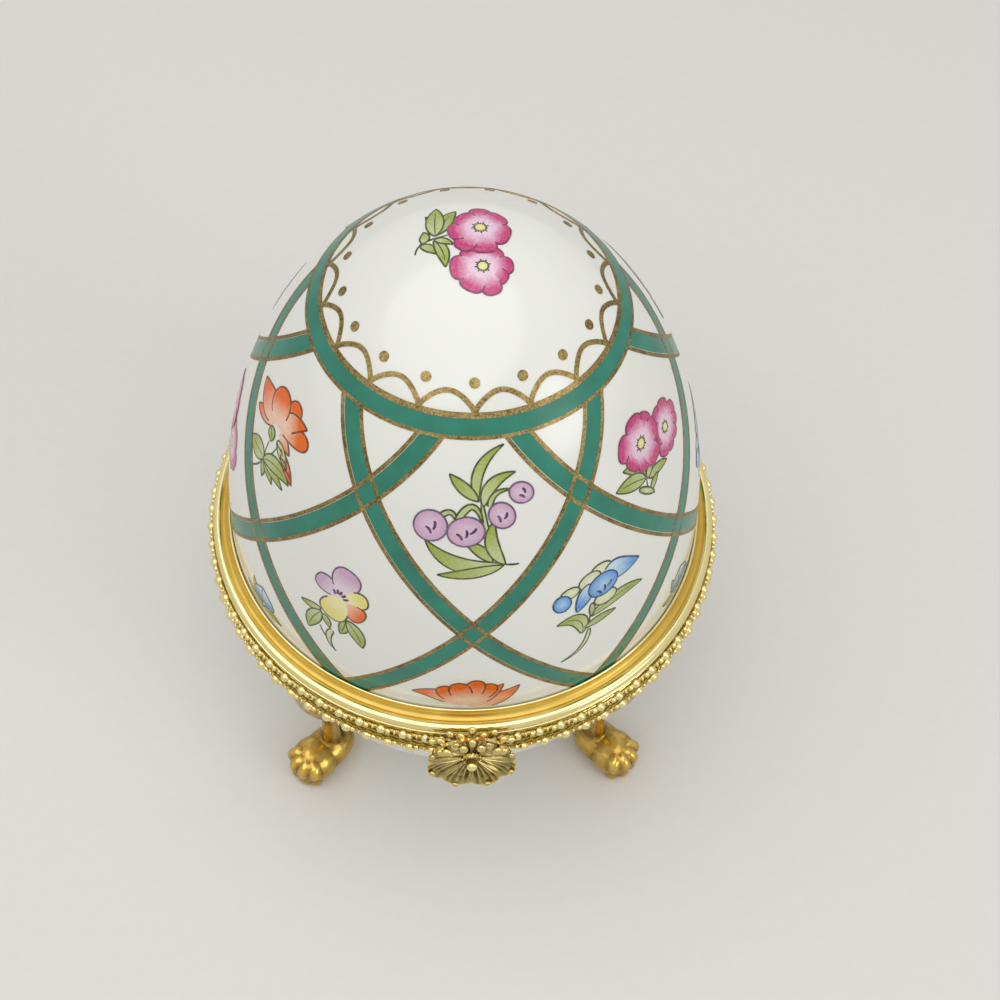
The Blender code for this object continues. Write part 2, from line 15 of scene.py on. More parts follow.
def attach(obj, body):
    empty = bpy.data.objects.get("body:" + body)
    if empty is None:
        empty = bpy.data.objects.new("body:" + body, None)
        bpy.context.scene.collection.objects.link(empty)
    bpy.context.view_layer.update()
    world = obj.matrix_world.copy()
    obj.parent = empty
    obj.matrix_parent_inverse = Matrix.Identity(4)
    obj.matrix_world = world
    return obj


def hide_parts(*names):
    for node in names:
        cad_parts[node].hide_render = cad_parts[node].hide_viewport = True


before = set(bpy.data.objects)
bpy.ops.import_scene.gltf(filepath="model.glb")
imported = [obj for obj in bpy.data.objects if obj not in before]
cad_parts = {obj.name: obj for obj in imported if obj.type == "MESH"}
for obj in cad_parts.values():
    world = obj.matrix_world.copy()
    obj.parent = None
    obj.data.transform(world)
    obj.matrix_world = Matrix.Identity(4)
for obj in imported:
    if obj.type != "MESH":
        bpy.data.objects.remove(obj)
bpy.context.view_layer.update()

MM = 0.001

# The egg and its bezels, as the CAD has them
SEAM = 40.5
EGG_RADIUS = 36.5
EQUATOR = 3.4                # widest girth above the seam
LID_HEIGHT = 62.7            # from the seam to the crown
LID_FULLNESS = 2.03          # power of the lid's superellipse
BOWL_DEPTH = 37.5            # from the seam to the bowl's bottom
BOWL_FULLNESS = 2.8
PORCELAIN_WALL = 2.4
PORCELAIN_SEAT = 1.3         # porcelain's edge above and below the seam
MIDDLE = SEAM + EQUATOR
LID_RISE = LID_HEIGHT - EQUATOR
BOWL_RISE = BOWL_DEPTH + EQUATOR
BORE = 36.8                  # bezel's bore
WALL = 38.85                 # bezel's wall, which carries the beading
BEZEL_HEIGHT = 5.4           # this and the next two are measured from the seam
FLANGE_TOP = 1.0
SEAM_HALF_GAP = 0.15
COLLAR_INNER = 34.5          # radii of the collar that locates the lid
COLLAR_OUTER = 35.3
COLLAR_RISE = 0.6
RUN_GAP = 0.3                # between the collar and the lid's flange

# Legs, with depths under the seam
STEM_TOP = 5.8
STEM_BOTTOM = 38.1
STEM_BEND = 40               # power that blends the bowl's curve into the ankle: the higher, the sharper
ANKLE_RADIUS = 31.8          # where the legs leave the bowl
ANKLE_DEPTH = 35.9
LEG_TURN = 45.5              # degrees from front or back
PAW_VOXEL = 0.22             # grain of the skin grown over a leg's parts

# Beaded wire
PITCH = 2 * pi / 75          # turn from one pearl to the next
BEADS = 33                   # pearls in one strip
FIRST_BEAD = 2               # number of the first one, clear of the clasp's tongue
SMALL_RISE = 0.82            # small beads and their wire, above or below the seam

# Clasp's flower
CLASP_REACH = 41.3           # from the egg's axis to the flower's middle
CLASP_TILT = 84              # degrees from facing up to facing forward

# Transfer printed bands and border
BAND_PAIRS = 6
BAND_RISES = (52.6, 42.9, 23.8, 3.6)     # above the seam, where a band has the next line's turns
BAND_TURNS = (-47.0, -30.0, 0.0, 30.0)   # degrees from the clasp
BAND_GREEN = 2.3
BAND_GILT = 0.55
RING_ARC = 23.65             # ring band's middle, from the crown along the glaze
RING_GREEN = 2.3
SCALLOPS = 17
SCALLOP_ARC = 21.75          # scallops' feet, from the crown along the glaze
SCALLOP_DEPTH = 2.6
DOT_ARC = 18.1               # dots' middles, from the crown along the glaze
DOT_RADIUS = 0.70

# Heights of the patches over the glaze; of two bands that cross, the second is on top
UNDERSIDE = -0.03            # all patches start here, under the glaze's face
BAND_LIFTS = (0.020, 0.026)
BAND_GILT_LIFTS = (0.040, 0.046)
RING_LIFT = 0.054
RING_GILT_LIFT = 0.062
BORDER_LIFT = 0.068


def linear(code):
    """Linear colour of an sRGB hex code."""
    parts = [int(code[i:i + 2], 16) / 255 for i in (1, 3, 5)]
    return [p / 12.92 if p <= 0.04045 else ((p + 0.055) / 1.055) ** 2.4 for p in parts] + [1.0]


def add_node(tree, kind, inputs=None, **settings):
    """Add a node to a tree: its settings by name, its inputs as values or as sockets to link."""
    node = tree.nodes.new(kind)
    for key, value in settings.items():
        setattr(node, key, value)
    for key, value in (inputs or {}).items():
        if isinstance(value, bpy.types.NodeSocket):
            tree.links.new(value, node.inputs[key])
        else:
            node.inputs[key].default_value = value
    return node


def maths(tree, operation, *values, **settings):
    """The result of one operation on values or sockets."""
    inputs = dict(enumerate(values))
    return add_node(tree, "ShaderNodeMath", inputs, operation=operation, **settings).outputs[0]


# Materials

class Finish:
    """A material on object coordinates; each method adds a node and gives its result."""

    def __init__(self, name):
        self.material = bpy.data.materials.new(name)
        self.material.use_nodes = True
        self.tree = self.material.node_tree
        self.tree.nodes.clear()
        self.place = add_node(self.tree, "ShaderNodeTexCoord").outputs["Object"]

    def noise(self, grain, **settings):
        """Noise with grains of a size in millimetres."""
        inputs = {"Vector": self.place, "Scale": 1 / MM / grain, **settings}
        return add_node(self.tree, "ShaderNodeTexNoise", inputs).outputs["Fac"]

    def stored(self, name):
        """What the mesh stores under a name."""
        return add_node(self.tree, "ShaderNodeAttribute", attribute_name=name).outputs["Fac"]

    def spread(self, value, low, high, start=0.0, end=1.0):
        """A value's stretch from start to end, spread from low to high."""
        return add_node(self.tree, "ShaderNodeMapRange",
                        {"Value": value, 1: start, 2: end, 3: low, 4: high}).outputs[0]

    def shifted(self, value, noise, amount):
        """A value moved up and down by noise, within 0 and 1."""
        shift = self.spread(noise, -amount, amount, 0.3, 0.7)
        return maths(self.tree, "ADD", value, shift, use_clamp=True)

    def tone(self, share, first, second):
        """A colour between two, which are hex codes or other results."""
        ends = [linear(end) if isinstance(end, str) else end for end in (first, second)]
        return add_node(self.tree, "ShaderNodeMix", {0: share, 6: ends[0], 7: ends[1]},
                        data_type="RGBA").outputs[2]

    def relief(self, height, strength, depth):
        """A surface raised by up to a depth in millimetres."""
        return add_node(self.tree, "ShaderNodeBump",
                        {"Strength": strength, "Distance": depth * MM, "Height": height}).outputs[0]

    def closed(self, tone, gloss, settings):
        """The finished material with its tone, its roughness and the shader's other settings."""
        shader = add_node(self.tree, "ShaderNodeBsdfPrincipled",
                          {"Base Color": tone, "Roughness": gloss, **settings})
        add_node(self.tree, "ShaderNodeOutputMaterial", {"Surface": shader.outputs[0]})
        return self.material


def glazed_porcelain():
    """Hard porcelain, slip cast and dipped in clear glaze: white, glassy, faintly uneven."""
    make = Finish("glazed_porcelain")
    broad = make.noise(14)
    return make.closed(make.tone(broad, "#eeefe9", "#e8e9e2"), make.spread(broad, 0.15, 0.22), {
        "IOR": 1.52, "Coat Weight": 0.3, "Coat Roughness": 0.07, "Coat IOR": 1.5, "Subsurface Weight": 0.05,
        "Subsurface Scale": 0.001, "Normal": make.relief(make.noise(5, Detail=1.0), 0.10, 0.06)})


def transfer_enamel():
    """Green transfer enamel fired over the glaze: even, less glossy, with fine pinholes."""
    make = Finish("green_transfer_enamel")
    even = make.tone(make.noise(4, Detail=4.0), "#2e6a57", "#3b947f")
    speck = make.noise(0.35)
    pinholes = make.spread(speck, 0.0, 0.35, 0.68, 0.80)
    return make.closed(make.tone(pinholes, even, "#7fb5a2"), 0.24, {
        "IOR": 1.5, "Specular IOR Level": 0.25, "Normal": make.relief(speck, 0.25, 0.02)})


def burnished_gold():
    """Gold fired over the glaze and lightly burnished: brownish, grainy and half matt."""
    make = Finish("burnished_gold_line")
    grain = make.noise(0.3, Roughness=0.65)
    mottle = add_node(make.tree, "ShaderNodeMix", {0: 0.35, 2: grain, 3: make.noise(2.2)}).outputs[0]
    tone = make.tone(make.spread(mottle, 0.0, 1.0, 0.38, 0.64), "#6a5934", "#b59e6a")
    return make.closed(tone, make.spread(grain, 0.30, 0.5), {
        "Metallic": 1.0, "Normal": make.relief(grain, 0.5, 0.03)})


def painted_colour(name, pale, deep):
    """Overglaze painter's colour, thin and pale or thick and deep by the patch's shade."""
    make = Finish(name)
    shade = make.shifted(make.stored("shade"), make.noise(0.4), 0.1)
    return make.closed(make.tone(shade, pale, deep), 0.2, {"IOR": 1.5})


def pen_colours():
    """The pen lines' overglaze colours, a little broken; each line's shade picks one of six."""
    make = Finish("outline_overglaze")
    ramp = add_node(make.tree, "ShaderNodeValToRGB", {0: make.stored("shade")})
    ramp.color_ramp.interpolation = "CONSTANT"
    stops = ramp.color_ramp.elements
    for number, code in enumerate(("#414b1a", "#862f5a", "#66506e", "#74351a", "#223f6c", "#5e2c60")):
        stop = stops[0] if number == 0 else stops.new(number / PEN_COUNT)
        stop.color = linear(code)
    stops.remove(stops[-1])
    faded = make.spread(make.noise(0.8), 0.0, 0.2, 0.45, 0.75)
    return make.closed(make.tone(faded, ramp.outputs[0], "#d8d2c4"), 0.22, {"IOR": 1.5})


def plated_gilt(name, pale, deep, gloss, wave):
    """Brass plated with gold: its colour drifts, handling leaves a haze, wave is its unevenness."""
    make = Finish(name)
    haze = make.noise(3)
    return make.closed(make.tone(haze, pale, deep), make.spread(haze, *gloss), {
        "Metallic": 1.0, "Normal": make.relief(make.noise(1.6), wave, 0.04)})


def cast_gilt(name, hollow_toning_and_shade, crest_rub_and_highlight, gloss):
    """Cast brass plated with gold: its hollows darker, as toning and painted shade, its crests lighter, as
    rubbed metal and painted highlight.
    """
    make = Finish(name)
    grain = make.noise(0.6, Detail=3.0)
    depth = make.shifted(make.stored("hollow_toning_and_shade"), grain, 0.12)
    # colour runs from painted highlight on the crests to toning and painted shade in the hollows
    return make.closed(make.tone(depth, crest_rub_and_highlight, hollow_toning_and_shade), make.spread(depth, *gloss), {
        "Metallic": 1.0, "Normal": make.relief(grain, 0.35, 0.05)})


def paper_floor():
    """Matt pale paper sweep."""
    make = Finish("pale_paper_floor")
    return make.closed(make.tone(make.noise(2), "#e2e0dc", "#e6e4e0"), 0.8, {"Specular IOR Level": 0.2})


# Meshes

def add_object(name, data):
    """Put a mesh, a lamp or a camera in the scene at the origin."""
    obj = bpy.data.objects.new(name, data)
    bpy.context.scene.collection.objects.link(obj)
    return obj


def shaded(mesh, angle=40):
    """The mesh, smooth with sharp edges from an angle on."""
    mesh.shade_smooth()
    mesh.set_sharp_from_angle(angle=radians(angle))
    return mesh


def mesh_of(name, bm):
    """The mesh of a finished bmesh, which is freed."""
    mesh = bpy.data.meshes.new(name)
    bm.to_mesh(mesh)
    bm.free()
    return mesh


def mesh_from(name, points, faces, materials, slots=None, angle=40):
    """A smooth-shaded closed mesh of points in millimetres, its faces turned outward."""
    mesh = bpy.data.meshes.new(name)
    mesh.from_pydata((np.asarray(points, dtype=float) * MM).tolist(), [], faces)
    for material in materials:
        mesh.materials.append(material)
    if slots is not None:
        mesh.polygons.foreach_set("material_index", slots)
    bm = bmesh.new()
    bm.from_mesh(mesh)
    bmesh.ops.recalc_face_normals(bm, faces=bm.faces)
    bm.to_mesh(mesh)
    bm.free()
    return shaded(mesh, angle)


def turned(name, profile, materials, steps, slots=None):
    """Turn a closed (radius, height) profile about Z; slots gives each stretch's material."""
    points, rings, faces, indices = [], [], [], []
    angles = np.linspace(0, 2 * pi, steps, endpoint=False)
    for radius, height in profile:
        if radius < 1e-6:
            rings.append([len(points)] * steps)
            points.append((0, 0, height))
            continue
        rings.append(list(range(len(points), len(points) + steps)))
        points.extend(zip(radius * np.cos(angles), radius * np.sin(angles), [height] * steps))
    for stretch, (ring, following) in enumerate(zip(rings, rings[1:] + rings[:1])):
        if ring[0] == ring[1] and following[0] == following[1]:
            continue
        for step in range(steps):
            after = (step + 1) % steps
            corners = [ring[step], ring[after], following[after], following[step]]
            faces.append(list(dict.fromkeys(corners)))
            indices.append(slots[stretch] if slots else 0)
    return mesh_from(name, points, faces, materials, indices)


def lofted(name, loops, materials=()):
    """Skin a row of loops of equally many points and close both ends."""
    loops = np.asarray(loops)
    levels, sides = loops.shape[:2]
    faces = [list(range(sides)), list(range((levels - 1) * sides, levels * sides))]
    for first in range(0, (levels - 1) * sides, sides):
        for side in range(sides):
            after = (side + 1) % sides
            faces.append([first + side, first + after, first + sides + after, first + sides + side])
    return mesh_from(name, loops.reshape(-1, 3), faces, materials)


def unit(rows):
    """Rows of an array scaled to length 1."""
    return rows / np.maximum(np.linalg.norm(rows, axis=1), 1e-9)[:, None]


def wire(name, path, radius, material, sides):
    """Round wire along a path that goes round the egg's axis."""
    ahead = unit(np.gradient(path, axis=0))
    across = unit(np.cross(ahead, path * (1, 1, 0)))
    out = np.cross(across, ahead)
    turns = np.linspace(0, 2 * pi, sides, endpoint=False)[None, :, None]
    loops = path[:, None] + radius * (np.cos(turns) * out[:, None] + np.sin(turns) * across[:, None])
    return lofted(name, loops, [material])


def column(items, name, width, kind=float):
    """One property of all the items, as rows of an array."""
    values = np.zeros(len(items) * width, dtype=kind)
    items.foreach_get(name, values)
    return values.reshape(-1, width)


def mark_hollows(mesh, depth, rounds, level):
    """Store how far each point lies under its smoothed neighbourhood, as shares of a depth in millimetres.

    Level parts get the share given as level. The cast gilt paints toning and shade by it into hollows, and a
    highlight onto crests.
    """
    places = column(mesh.vertices, "co", 3)
    normals = column(mesh.vertices, "normal", 3)
    ends = column(mesh.edges, "vertices", 2, int)
    spread = places.copy()
    weights = np.bincount(ends.ravel(), minlength=len(places))[:, None]
    for _ in range(rounds):
        total = np.zeros_like(spread)
        np.add.at(total, ends[:, 0], spread[ends[:, 1]])
        np.add.at(total, ends[:, 1], spread[ends[:, 0]])
        spread = total / np.maximum(weights, 1)
    shares = np.clip(level + ((spread - places) * normals).sum(axis=1) / (depth * MM), 0, 1)
    layer = mesh.attributes.new("hollow_toning_and_shade", "FLOAT", "POINT")
    layer.data.foreach_set("value", shares)


def baked(name, maker, material):
    """The mesh that an object's modifiers make, all in one material; the object goes."""
    graph = bpy.context.evaluated_depsgraph_get()
    mesh = bpy.data.meshes.new_from_object(maker.evaluated_get(graph))
    bpy.data.objects.remove(maker, do_unlink=True)
    mesh.name = name
    mesh.materials.clear()
    mesh.materials.append(material)
    return mesh


def run_tree(name, mesh, tree, values):
    """Run a geometry tree on a mesh and return the plain result; values go in by the input's name."""
    maker = add_object(name + "_maker", mesh)
    modifier = maker.modifiers.new("maker", "NODES")
    modifier.node_group = tree
    for item in tree.interface.items_tree:
        if item.item_type == "SOCKET" and item.in_out == "INPUT" and item.name in values:
            modifier[item.identifier] = values[item.name]
    return shaded(baked(name, maker, values["Finish"]))


def new_tree(name, inputs):
    """A geometry tree with named inputs, and its group input node."""
    tree = bpy.data.node_groups.new(name, "GeometryNodeTree")
    tree.interface.new_socket("Geometry", in_out="INPUT", socket_type="NodeSocketGeometry")
    tree.interface.new_socket("Geometry", in_out="OUTPUT", socket_type="NodeSocketGeometry")
    for label, kind in inputs:
        tree.interface.new_socket(label, in_out="INPUT", socket_type="NodeSocket" + kind)
    return tree, add_node(tree, "NodeGroupInput").outputs


def close_tree(tree, geometry, finish):
    """Realize the instances, give the result its material and link it out."""
    real = add_node(tree, "GeometryNodeRealizeInstances", {"Geometry": geometry})
    dressed = add_node(tree, "GeometryNodeSetMaterial", {"Geometry": real.outputs[0], "Material": finish})
    add_node(tree, "NodeGroupOutput", {"Geometry": dressed.outputs[0]})


def turned_points(tree, count, pitch, first_turn):
    """Points at the origin, and the turn about Z of each: the first one's and a pitch more for every next."""
    points = add_node(tree, "GeometryNodePoints", {"Count": count}).outputs[0]
    number = add_node(tree, "GeometryNodeInputIndex").outputs[0]
    turn = maths(tree, "MULTIPLY_ADD", number, pitch, first_turn)
    return points, add_node(tree, "ShaderNodeCombineXYZ", {"Z": turn}).outputs[0]


def copies_tree():
    """Tree that repeats the given shape round Z."""
    tree, given = new_tree("copies_round_axis", [
        ("Copies", "Int"), ("First Turn", "Float"), ("Finish", "Material")])
    pitch = maths(tree, "DIVIDE", 2 * pi, given["Copies"])
    points, facing = turned_points(tree, given["Copies"], pitch, given["First Turn"])
    placed = add_node(tree, "GeometryNodeInstanceOnPoints", {
        "Points": points, "Instance": given["Geometry"], "Rotation": facing})
    close_tree(tree, placed.outputs[0], given["Finish"])
    return tree


def beads_tree():
    """Tree that strings beads of one kind along an arc round Z, counted from the clasp."""
    tree, given = new_tree("strung_beads", [
        ("Beads", "Int"), ("First Turn", "Float"), ("Pitch", "Float"), ("Ring Radius", "Float"),
        ("Height", "Float"), ("Bead Radius", "Float"), ("Bead Width", "Float"), ("Sides", "Int"),
        ("Rings", "Int"), ("Finish", "Material")])
    points, facing = turned_points(tree, given["Beads"], given["Pitch"], given["First Turn"])
    front = add_node(tree, "ShaderNodeCombineXYZ", {
        "Y": maths(tree, "MULTIPLY", given["Ring Radius"], -1.0), "Z": given["Height"]})
    spot = add_node(tree, "ShaderNodeVectorRotate", {"Vector": front.outputs[0], "Rotation": facing},
                    rotation_type="EULER_XYZ")
    moved = add_node(tree, "GeometryNodeSetPosition", {"Geometry": points, "Position": spot.outputs[0]})
    bead = add_node(tree, "GeometryNodeMeshUVSphere", {
        "Segments": given["Sides"], "Rings": given["Rings"], "Radius": given["Bead Radius"]})
    squeeze = add_node(tree, "ShaderNodeCombineXYZ", {
        "X": maths(tree, "DIVIDE", given["Bead Width"], given["Bead Radius"]), "Y": 1.0, "Z": 1.0})
    placed = add_node(tree, "GeometryNodeInstanceOnPoints", {
        "Points": moved.outputs[0], "Instance": bead.outputs[0], "Rotation": facing,
        "Scale": squeeze.outputs[0]})
    close_tree(tree, placed.outputs[0], given["Finish"])
    return tree


def join_meshes(name, meshes):
    """One mesh from several, each face in its own material."""
    bm = bmesh.new()
    materials = []
    for mesh in meshes:
        first = len(bm.faces)
        bm.from_mesh(mesh)
        bm.faces.ensure_lookup_table()
        materials += [material for material in mesh.materials if material not in materials]
        for face in bm.faces[first:]:
            face.material_index = materials.index(mesh.materials[face.material_index])
    joined = mesh_of(name, bm)
    for material in materials:
        joined.materials.append(material)
    return shaded(joined)


# The egg's form

def egg_turns(radius, rise, fullness, start, steps):
    """(radius, rise) stations of an egg half from a start rise to its pole."""
    first = np.arcsin(min(1.0, (abs(start) / rise) ** (fullness / 2))) * np.sign(start)
    turns = np.linspace(first, pi / 2, steps + 1)
    rings = radius * np.abs(np.cos(turns)) ** (2 / fullness)
    rises = rise * np.sign(turns) * np.abs(np.sin(turns)) ** (2 / fullness)
    rings[-1] = 0.0
    return list(zip(rings, rises))


def shell(name, rise, fullness, start, up, material):
    """Porcelain half with its inside: up is +1 for the lid and -1 for the bowl."""
    outer = egg_turns(EGG_RADIUS, rise, fullness, start, steps=56)
    inner = egg_turns(EGG_RADIUS - PORCELAIN_WALL, rise - PORCELAIN_WALL, fullness, start, steps=40)
    profile = [(ring, MIDDLE + up * height) for ring, height in outer + inner[::-1]]
    return turned(name, profile, [material], steps=192)


def egg_ring(rise):
    """Lid's outer radius at a rise above the seam."""
    share = np.abs(np.asarray(rise, dtype=float) - EQUATOR) / LID_RISE
    return EGG_RADIUS * np.maximum(0.0, 1 - share ** LID_FULLNESS) ** (1 / LID_FULLNESS)


def dome_points(azimuths, rises):
    """Points on the lid at azimuths in radians from the clasp and rises above the seam."""
    rings = egg_ring(rises)
    return np.stack([rings * np.sin(azimuths), -rings * np.cos(azimuths),
                     SEAM + np.asarray(rises, dtype=float)], axis=1)


def dome_normals(points):
    """Outward normals of the lid at points on it."""
    ring = np.maximum(np.hypot(points[:, 0], points[:, 1]), 1e-9)
    rise = points[:, 2] - MIDDLE
    slope = (ring / EGG_RADIUS) ** (LID_FULLNESS - 1) / EGG_RADIUS
    normals = np.stack([points[:, 0] / ring * slope, points[:, 1] / ring * slope,
                        np.sign(rise) * (np.abs(rise) / LID_RISE) ** (LID_FULLNESS - 1) / LID_RISE], axis=1)
    return unit(normals)


def onto_dome(points, lifts):
    """Points thrown onto the lid along rays from the egg's middle, then raised along its normals."""
    local = points - np.array([0, 0, MIDDLE])
    ring = np.hypot(local[:, 0], local[:, 1]) / EGG_RADIUS
    rise = np.abs(local[:, 2]) / LID_RISE
    scale = (ring ** LID_FULLNESS + rise ** LID_FULLNESS) ** (-1 / LID_FULLNESS)
    skin = local * scale[:, None] + np.array([0, 0, MIDDLE])
    return skin + dome_normals(skin) * lifts[:, None]


def rises_at_arc(arcs):
    """Rises above the seam at arc lengths down from the crown."""
    stations = np.array(egg_turns(EGG_RADIUS, LID_RISE, LID_FULLNESS, 1e-6, steps=2000))[::-1]
    steps = np.hypot(np.diff(stations[:, 0]), np.diff(stations[:, 1]))
    lengths = np.concatenate([[0], np.cumsum(steps)])
    return EQUATOR + np.interp(arcs, lengths, stations[:, 1])


# Painting on the glaze

class Paint:
    """Thin closed patches on the lid's glaze, gathered into one mesh."""

    def __init__(self):
        self.points, self.lifts, self.shades, self.faces, self.slots = [], [], [], [], []
        self.count = 0

    def put(self, points, lift, shades):
        """Add points at a lift with their shades and return the first one's number."""
        first = self.count
        self.points.append(points)
        self.lifts.append(np.full(len(points), lift))
        self.shades.append(np.broadcast_to(shades, (len(points),)))
        self.count += len(points)
        return first

    def face(self, corners, slot):
        """Add one face."""
        self.faces.append(corners)
        self.slots.append(slot)

    def patch(self, loops, centre, shades, centre_shade, lift, slot):
        """Fill nested loops from a centre out, and close the patch underneath."""
        size = len(loops[0])
        hub = self.put(centre[None, :], lift, centre_shade)
        starts = [self.put(loop, lift, shade) for loop, shade in zip(loops, shades)]
        starts.append(self.put(loops[-1], UNDERSIDE, shades[-1]))
        under = self.put(centre[None, :], UNDERSIDE, centre_shade)
        for step in range(size):
            after = (step + 1) % size
            self.face([hub, starts[0] + step, starts[0] + after], slot)
            for inner, outer in zip(starts, starts[1:]):
                self.face([inner + step, outer + step, outer + after, inner + after], slot)
            self.face([under, starts[-1] + after, starts[-1] + step], slot)

    def ribbon(self, path, widths, shades, lift, slot, across=1, closed=False):
        """Lay a closed strip of the given widths along a path."""
        count = len(path)
        if closed:
            ahead = np.roll(path, -1, axis=0) - np.roll(path, 1, axis=0)
        else:
            ahead = np.gradient(path, axis=0)
        normals = dome_normals(onto_dome(path, np.zeros(count)))
        side = unit(np.cross(ahead, normals))
        reach = side * (np.broadcast_to(widths, (count,)) / 2)[:, None]
        shades = np.broadcast_to(shades, (count,))
        rows = [self.put(path + reach * share, lift, shades) for share in np.linspace(-1, 1, across + 1)]
        rows += [self.put(path + reach, UNDERSIDE, shades), self.put(path - reach, UNDERSIDE, shades)]
        for step in range(count if closed else count - 1):
            after = (step + 1) % count
            for row, following in zip(rows, rows[1:] + rows[:1]):
                self.face([row + step, following + step, following + after, row + after], slot)
        if not closed:
            self.face(rows, slot)
            self.face([row + count - 1 for row in rows[::-1]], slot)

    def mesh(self, name, materials):
        """The gathered mesh, thrown onto the dome."""
        places = onto_dome(np.concatenate(self.points), np.concatenate(self.lifts))
        mesh = mesh_from(name, places, self.faces, materials, self.slots, 50)
        layer = mesh.attributes.new("shade", "FLOAT", "POINT")
        layer.data.foreach_set("value", np.concatenate(self.shades))
        return mesh


def band_path(side):
    """Middle line of a lattice band from under the ring to under the bezel: side is +1 or -1."""
    curve = np.polyfit(BAND_RISES, BAND_TURNS, 3)
    rises = np.linspace(53.0, 3.6, 90)
    return dome_points(radians(1) * side * np.polyval(curve, rises), rises)


def offset_path(path, distance):
    """A path moved sideways on the dome by a distance in millimetres."""
    side = unit(np.cross(np.gradient(path, axis=0), dome_normals(path)))
    return onto_dome(path + side * distance, np.zeros(len(path)))


def ring_path(arc):
    """Circle round the crown at an arc length from it."""
    turns = np.linspace(0, 2 * pi, 180, endpoint=False)
    return dome_points(turns, np.full(len(turns), rises_at_arc(arc)))


def lattice_enamel(enamel):
    """Green of the twelve crossing bands and of the ring that caps them."""
    paint = Paint()
    for side, lift in zip((1, -1), BAND_LIFTS):
        paint.ribbon(band_path(side), BAND_GREEN, 0.5, lift, 0, across=4)
    bands = run_tree("lattice_bands", paint.mesh("band_pair", [enamel]), copies_tree(),
                     {"Copies": BAND_PAIRS, "First Turn": 0.0, "Finish": enamel})
    ring = Paint()
    ring.ribbon(ring_path(RING_ARC), RING_GREEN, 0.5, RING_LIFT, 0, across=4, closed=True)
    return join_meshes("lattice_enamel", [bands, ring.mesh("ring_enamel", [enamel])])


def lattice_gilding(gold):
    """Gilt edges of the bands and the ring; one edge stands a hair off the green, as hand lining does."""
    paint = Paint()
    reach = (BAND_GREEN + BAND_GILT) / 2
    for side, lift in zip((1, -1), BAND_GILT_LIFTS):
        for way, drift in ((-1, -0.04), (1, 0.07)):
            paint.ribbon(offset_path(band_path(side), way * (reach + drift)), BAND_GILT, 0.5, lift, 0)
    bands = run_tree("gilt_edges", paint.mesh("edge_pair", [gold]), copies_tree(),
                     {"Copies": BAND_PAIRS, "First Turn": 0.0, "Finish": gold})
    ring = Paint()
    for shift, width, across in ((-RING_GREEN / 2 - 0.35, 0.78, 2), (RING_GREEN / 2 + 0.22, 0.5, 1)):
        ring.ribbon(ring_path(RING_ARC + shift), width, 0.5, RING_GILT_LIFT, 0, across, closed=True)
    return join_meshes("lattice_gilding", [bands, ring.mesh("ring_gilding", [gold])])


def scallop_gilding(gold):
    """Scallop and dot border inside the ring: one scallop and its dot, repeated round the crown."""
    paint = Paint()
    half = pi / SCALLOPS
    shares = np.linspace(-1, 1, 25)
    arcs = SCALLOP_ARC - SCALLOP_DEPTH * np.cos(shares * pi / 2) ** 0.75
    paint.ribbon(dome_points(shares * half, rises_at_arc(arcs)), 0.68, 0.5, BORDER_LIFT, 0)
    middle = Spot(paint, 180 / SCALLOPS, float(rises_at_arc(DOT_ARC)))
    disc(middle, 0, 0, DOT_RADIUS, DOT_RADIUS, 0, BORDER_LIFT, 0)
    return run_tree("scallop_gilding", paint.mesh("scallop", [gold]), copies_tree(),
                    {"Copies": SCALLOPS, "First Turn": radians(180 / SCALLOPS), "Finish": gold})


# Flower sprigs

ROSE, ORANGE, LILAC, YELLOW, BLUE, LEAF, PEN = range(7)
PEN_COUNT = 6
PEN_SHADES = [(number + 0.5) / PEN_COUNT for number in range(PEN_COUNT)]
OLIVE_PEN, ROSE_PEN, LILAC_PEN, RUST_PEN, BLUE_PEN, PLUM_PEN = PEN_SHADES
PENS = (ROSE_PEN, RUST_PEN, LILAC_PEN, OLIVE_PEN, BLUE_PEN, OLIVE_PEN)   # outline of each colour
PEN_WIDTH = 0.25
PEN_RISE = 0.003             # from a patch up to the pen lines on it
LEAF_SHAPE = (0.7, 0.9)      # powers of the outline's rise from the stalk and fall to the tip
POINTED = (0.6, 0.95)
ROUNDED = (0.75, 0.42)
FANNED = (1.05, 0.4)
STALK = (0.15, 0.6)
STEM_LIFT = 0.02             # over the glaze, under all the rest of a sprig
LEAF_LIFT = 0.024            # of a sprig's first leaf
LAP = 0.006                  # from one petal or leaf up to the next one over it
STAMENS = 17


class Spot:
    """Where a paint is laid on: x runs to the right and y towards the crown, in millimetres."""

    def __init__(self, paint, azimuth, rise, turn=0.0):
        self.paint = paint
        self.origin = dome_points(np.array([radians(azimuth)]), np.array([rise]))[0]
        out = dome_normals(self.origin[None, :])[0]
        level = np.cross((0, 0, 1), out)
        if np.linalg.norm(level) < 0.02:
            level = np.array([1.0, 0, 0])
        level /= np.linalg.norm(level)
        uphill = np.cross(out, level)
        self.right = level * cos(radians(turn)) + uphill * sin(radians(turn))
        self.up = np.cross(out, self.right)

    def at(self, flat):
        """Points of the tangent plane from (x, y) pairs."""
        flat = np.atleast_2d(np.asarray(flat, dtype=float))
        return self.origin + flat[:, :1] * self.right + flat[:, 1:] * self.up


def turned_flat(flat, x, y, turn):
    """(x, y) pairs turned by degrees and moved."""
    angle = radians(turn)
    return np.stack([x + flat[:, 0] * cos(angle) - flat[:, 1] * sin(angle),
                     y + flat[:, 0] * sin(angle) + flat[:, 1] * cos(angle)], axis=1)


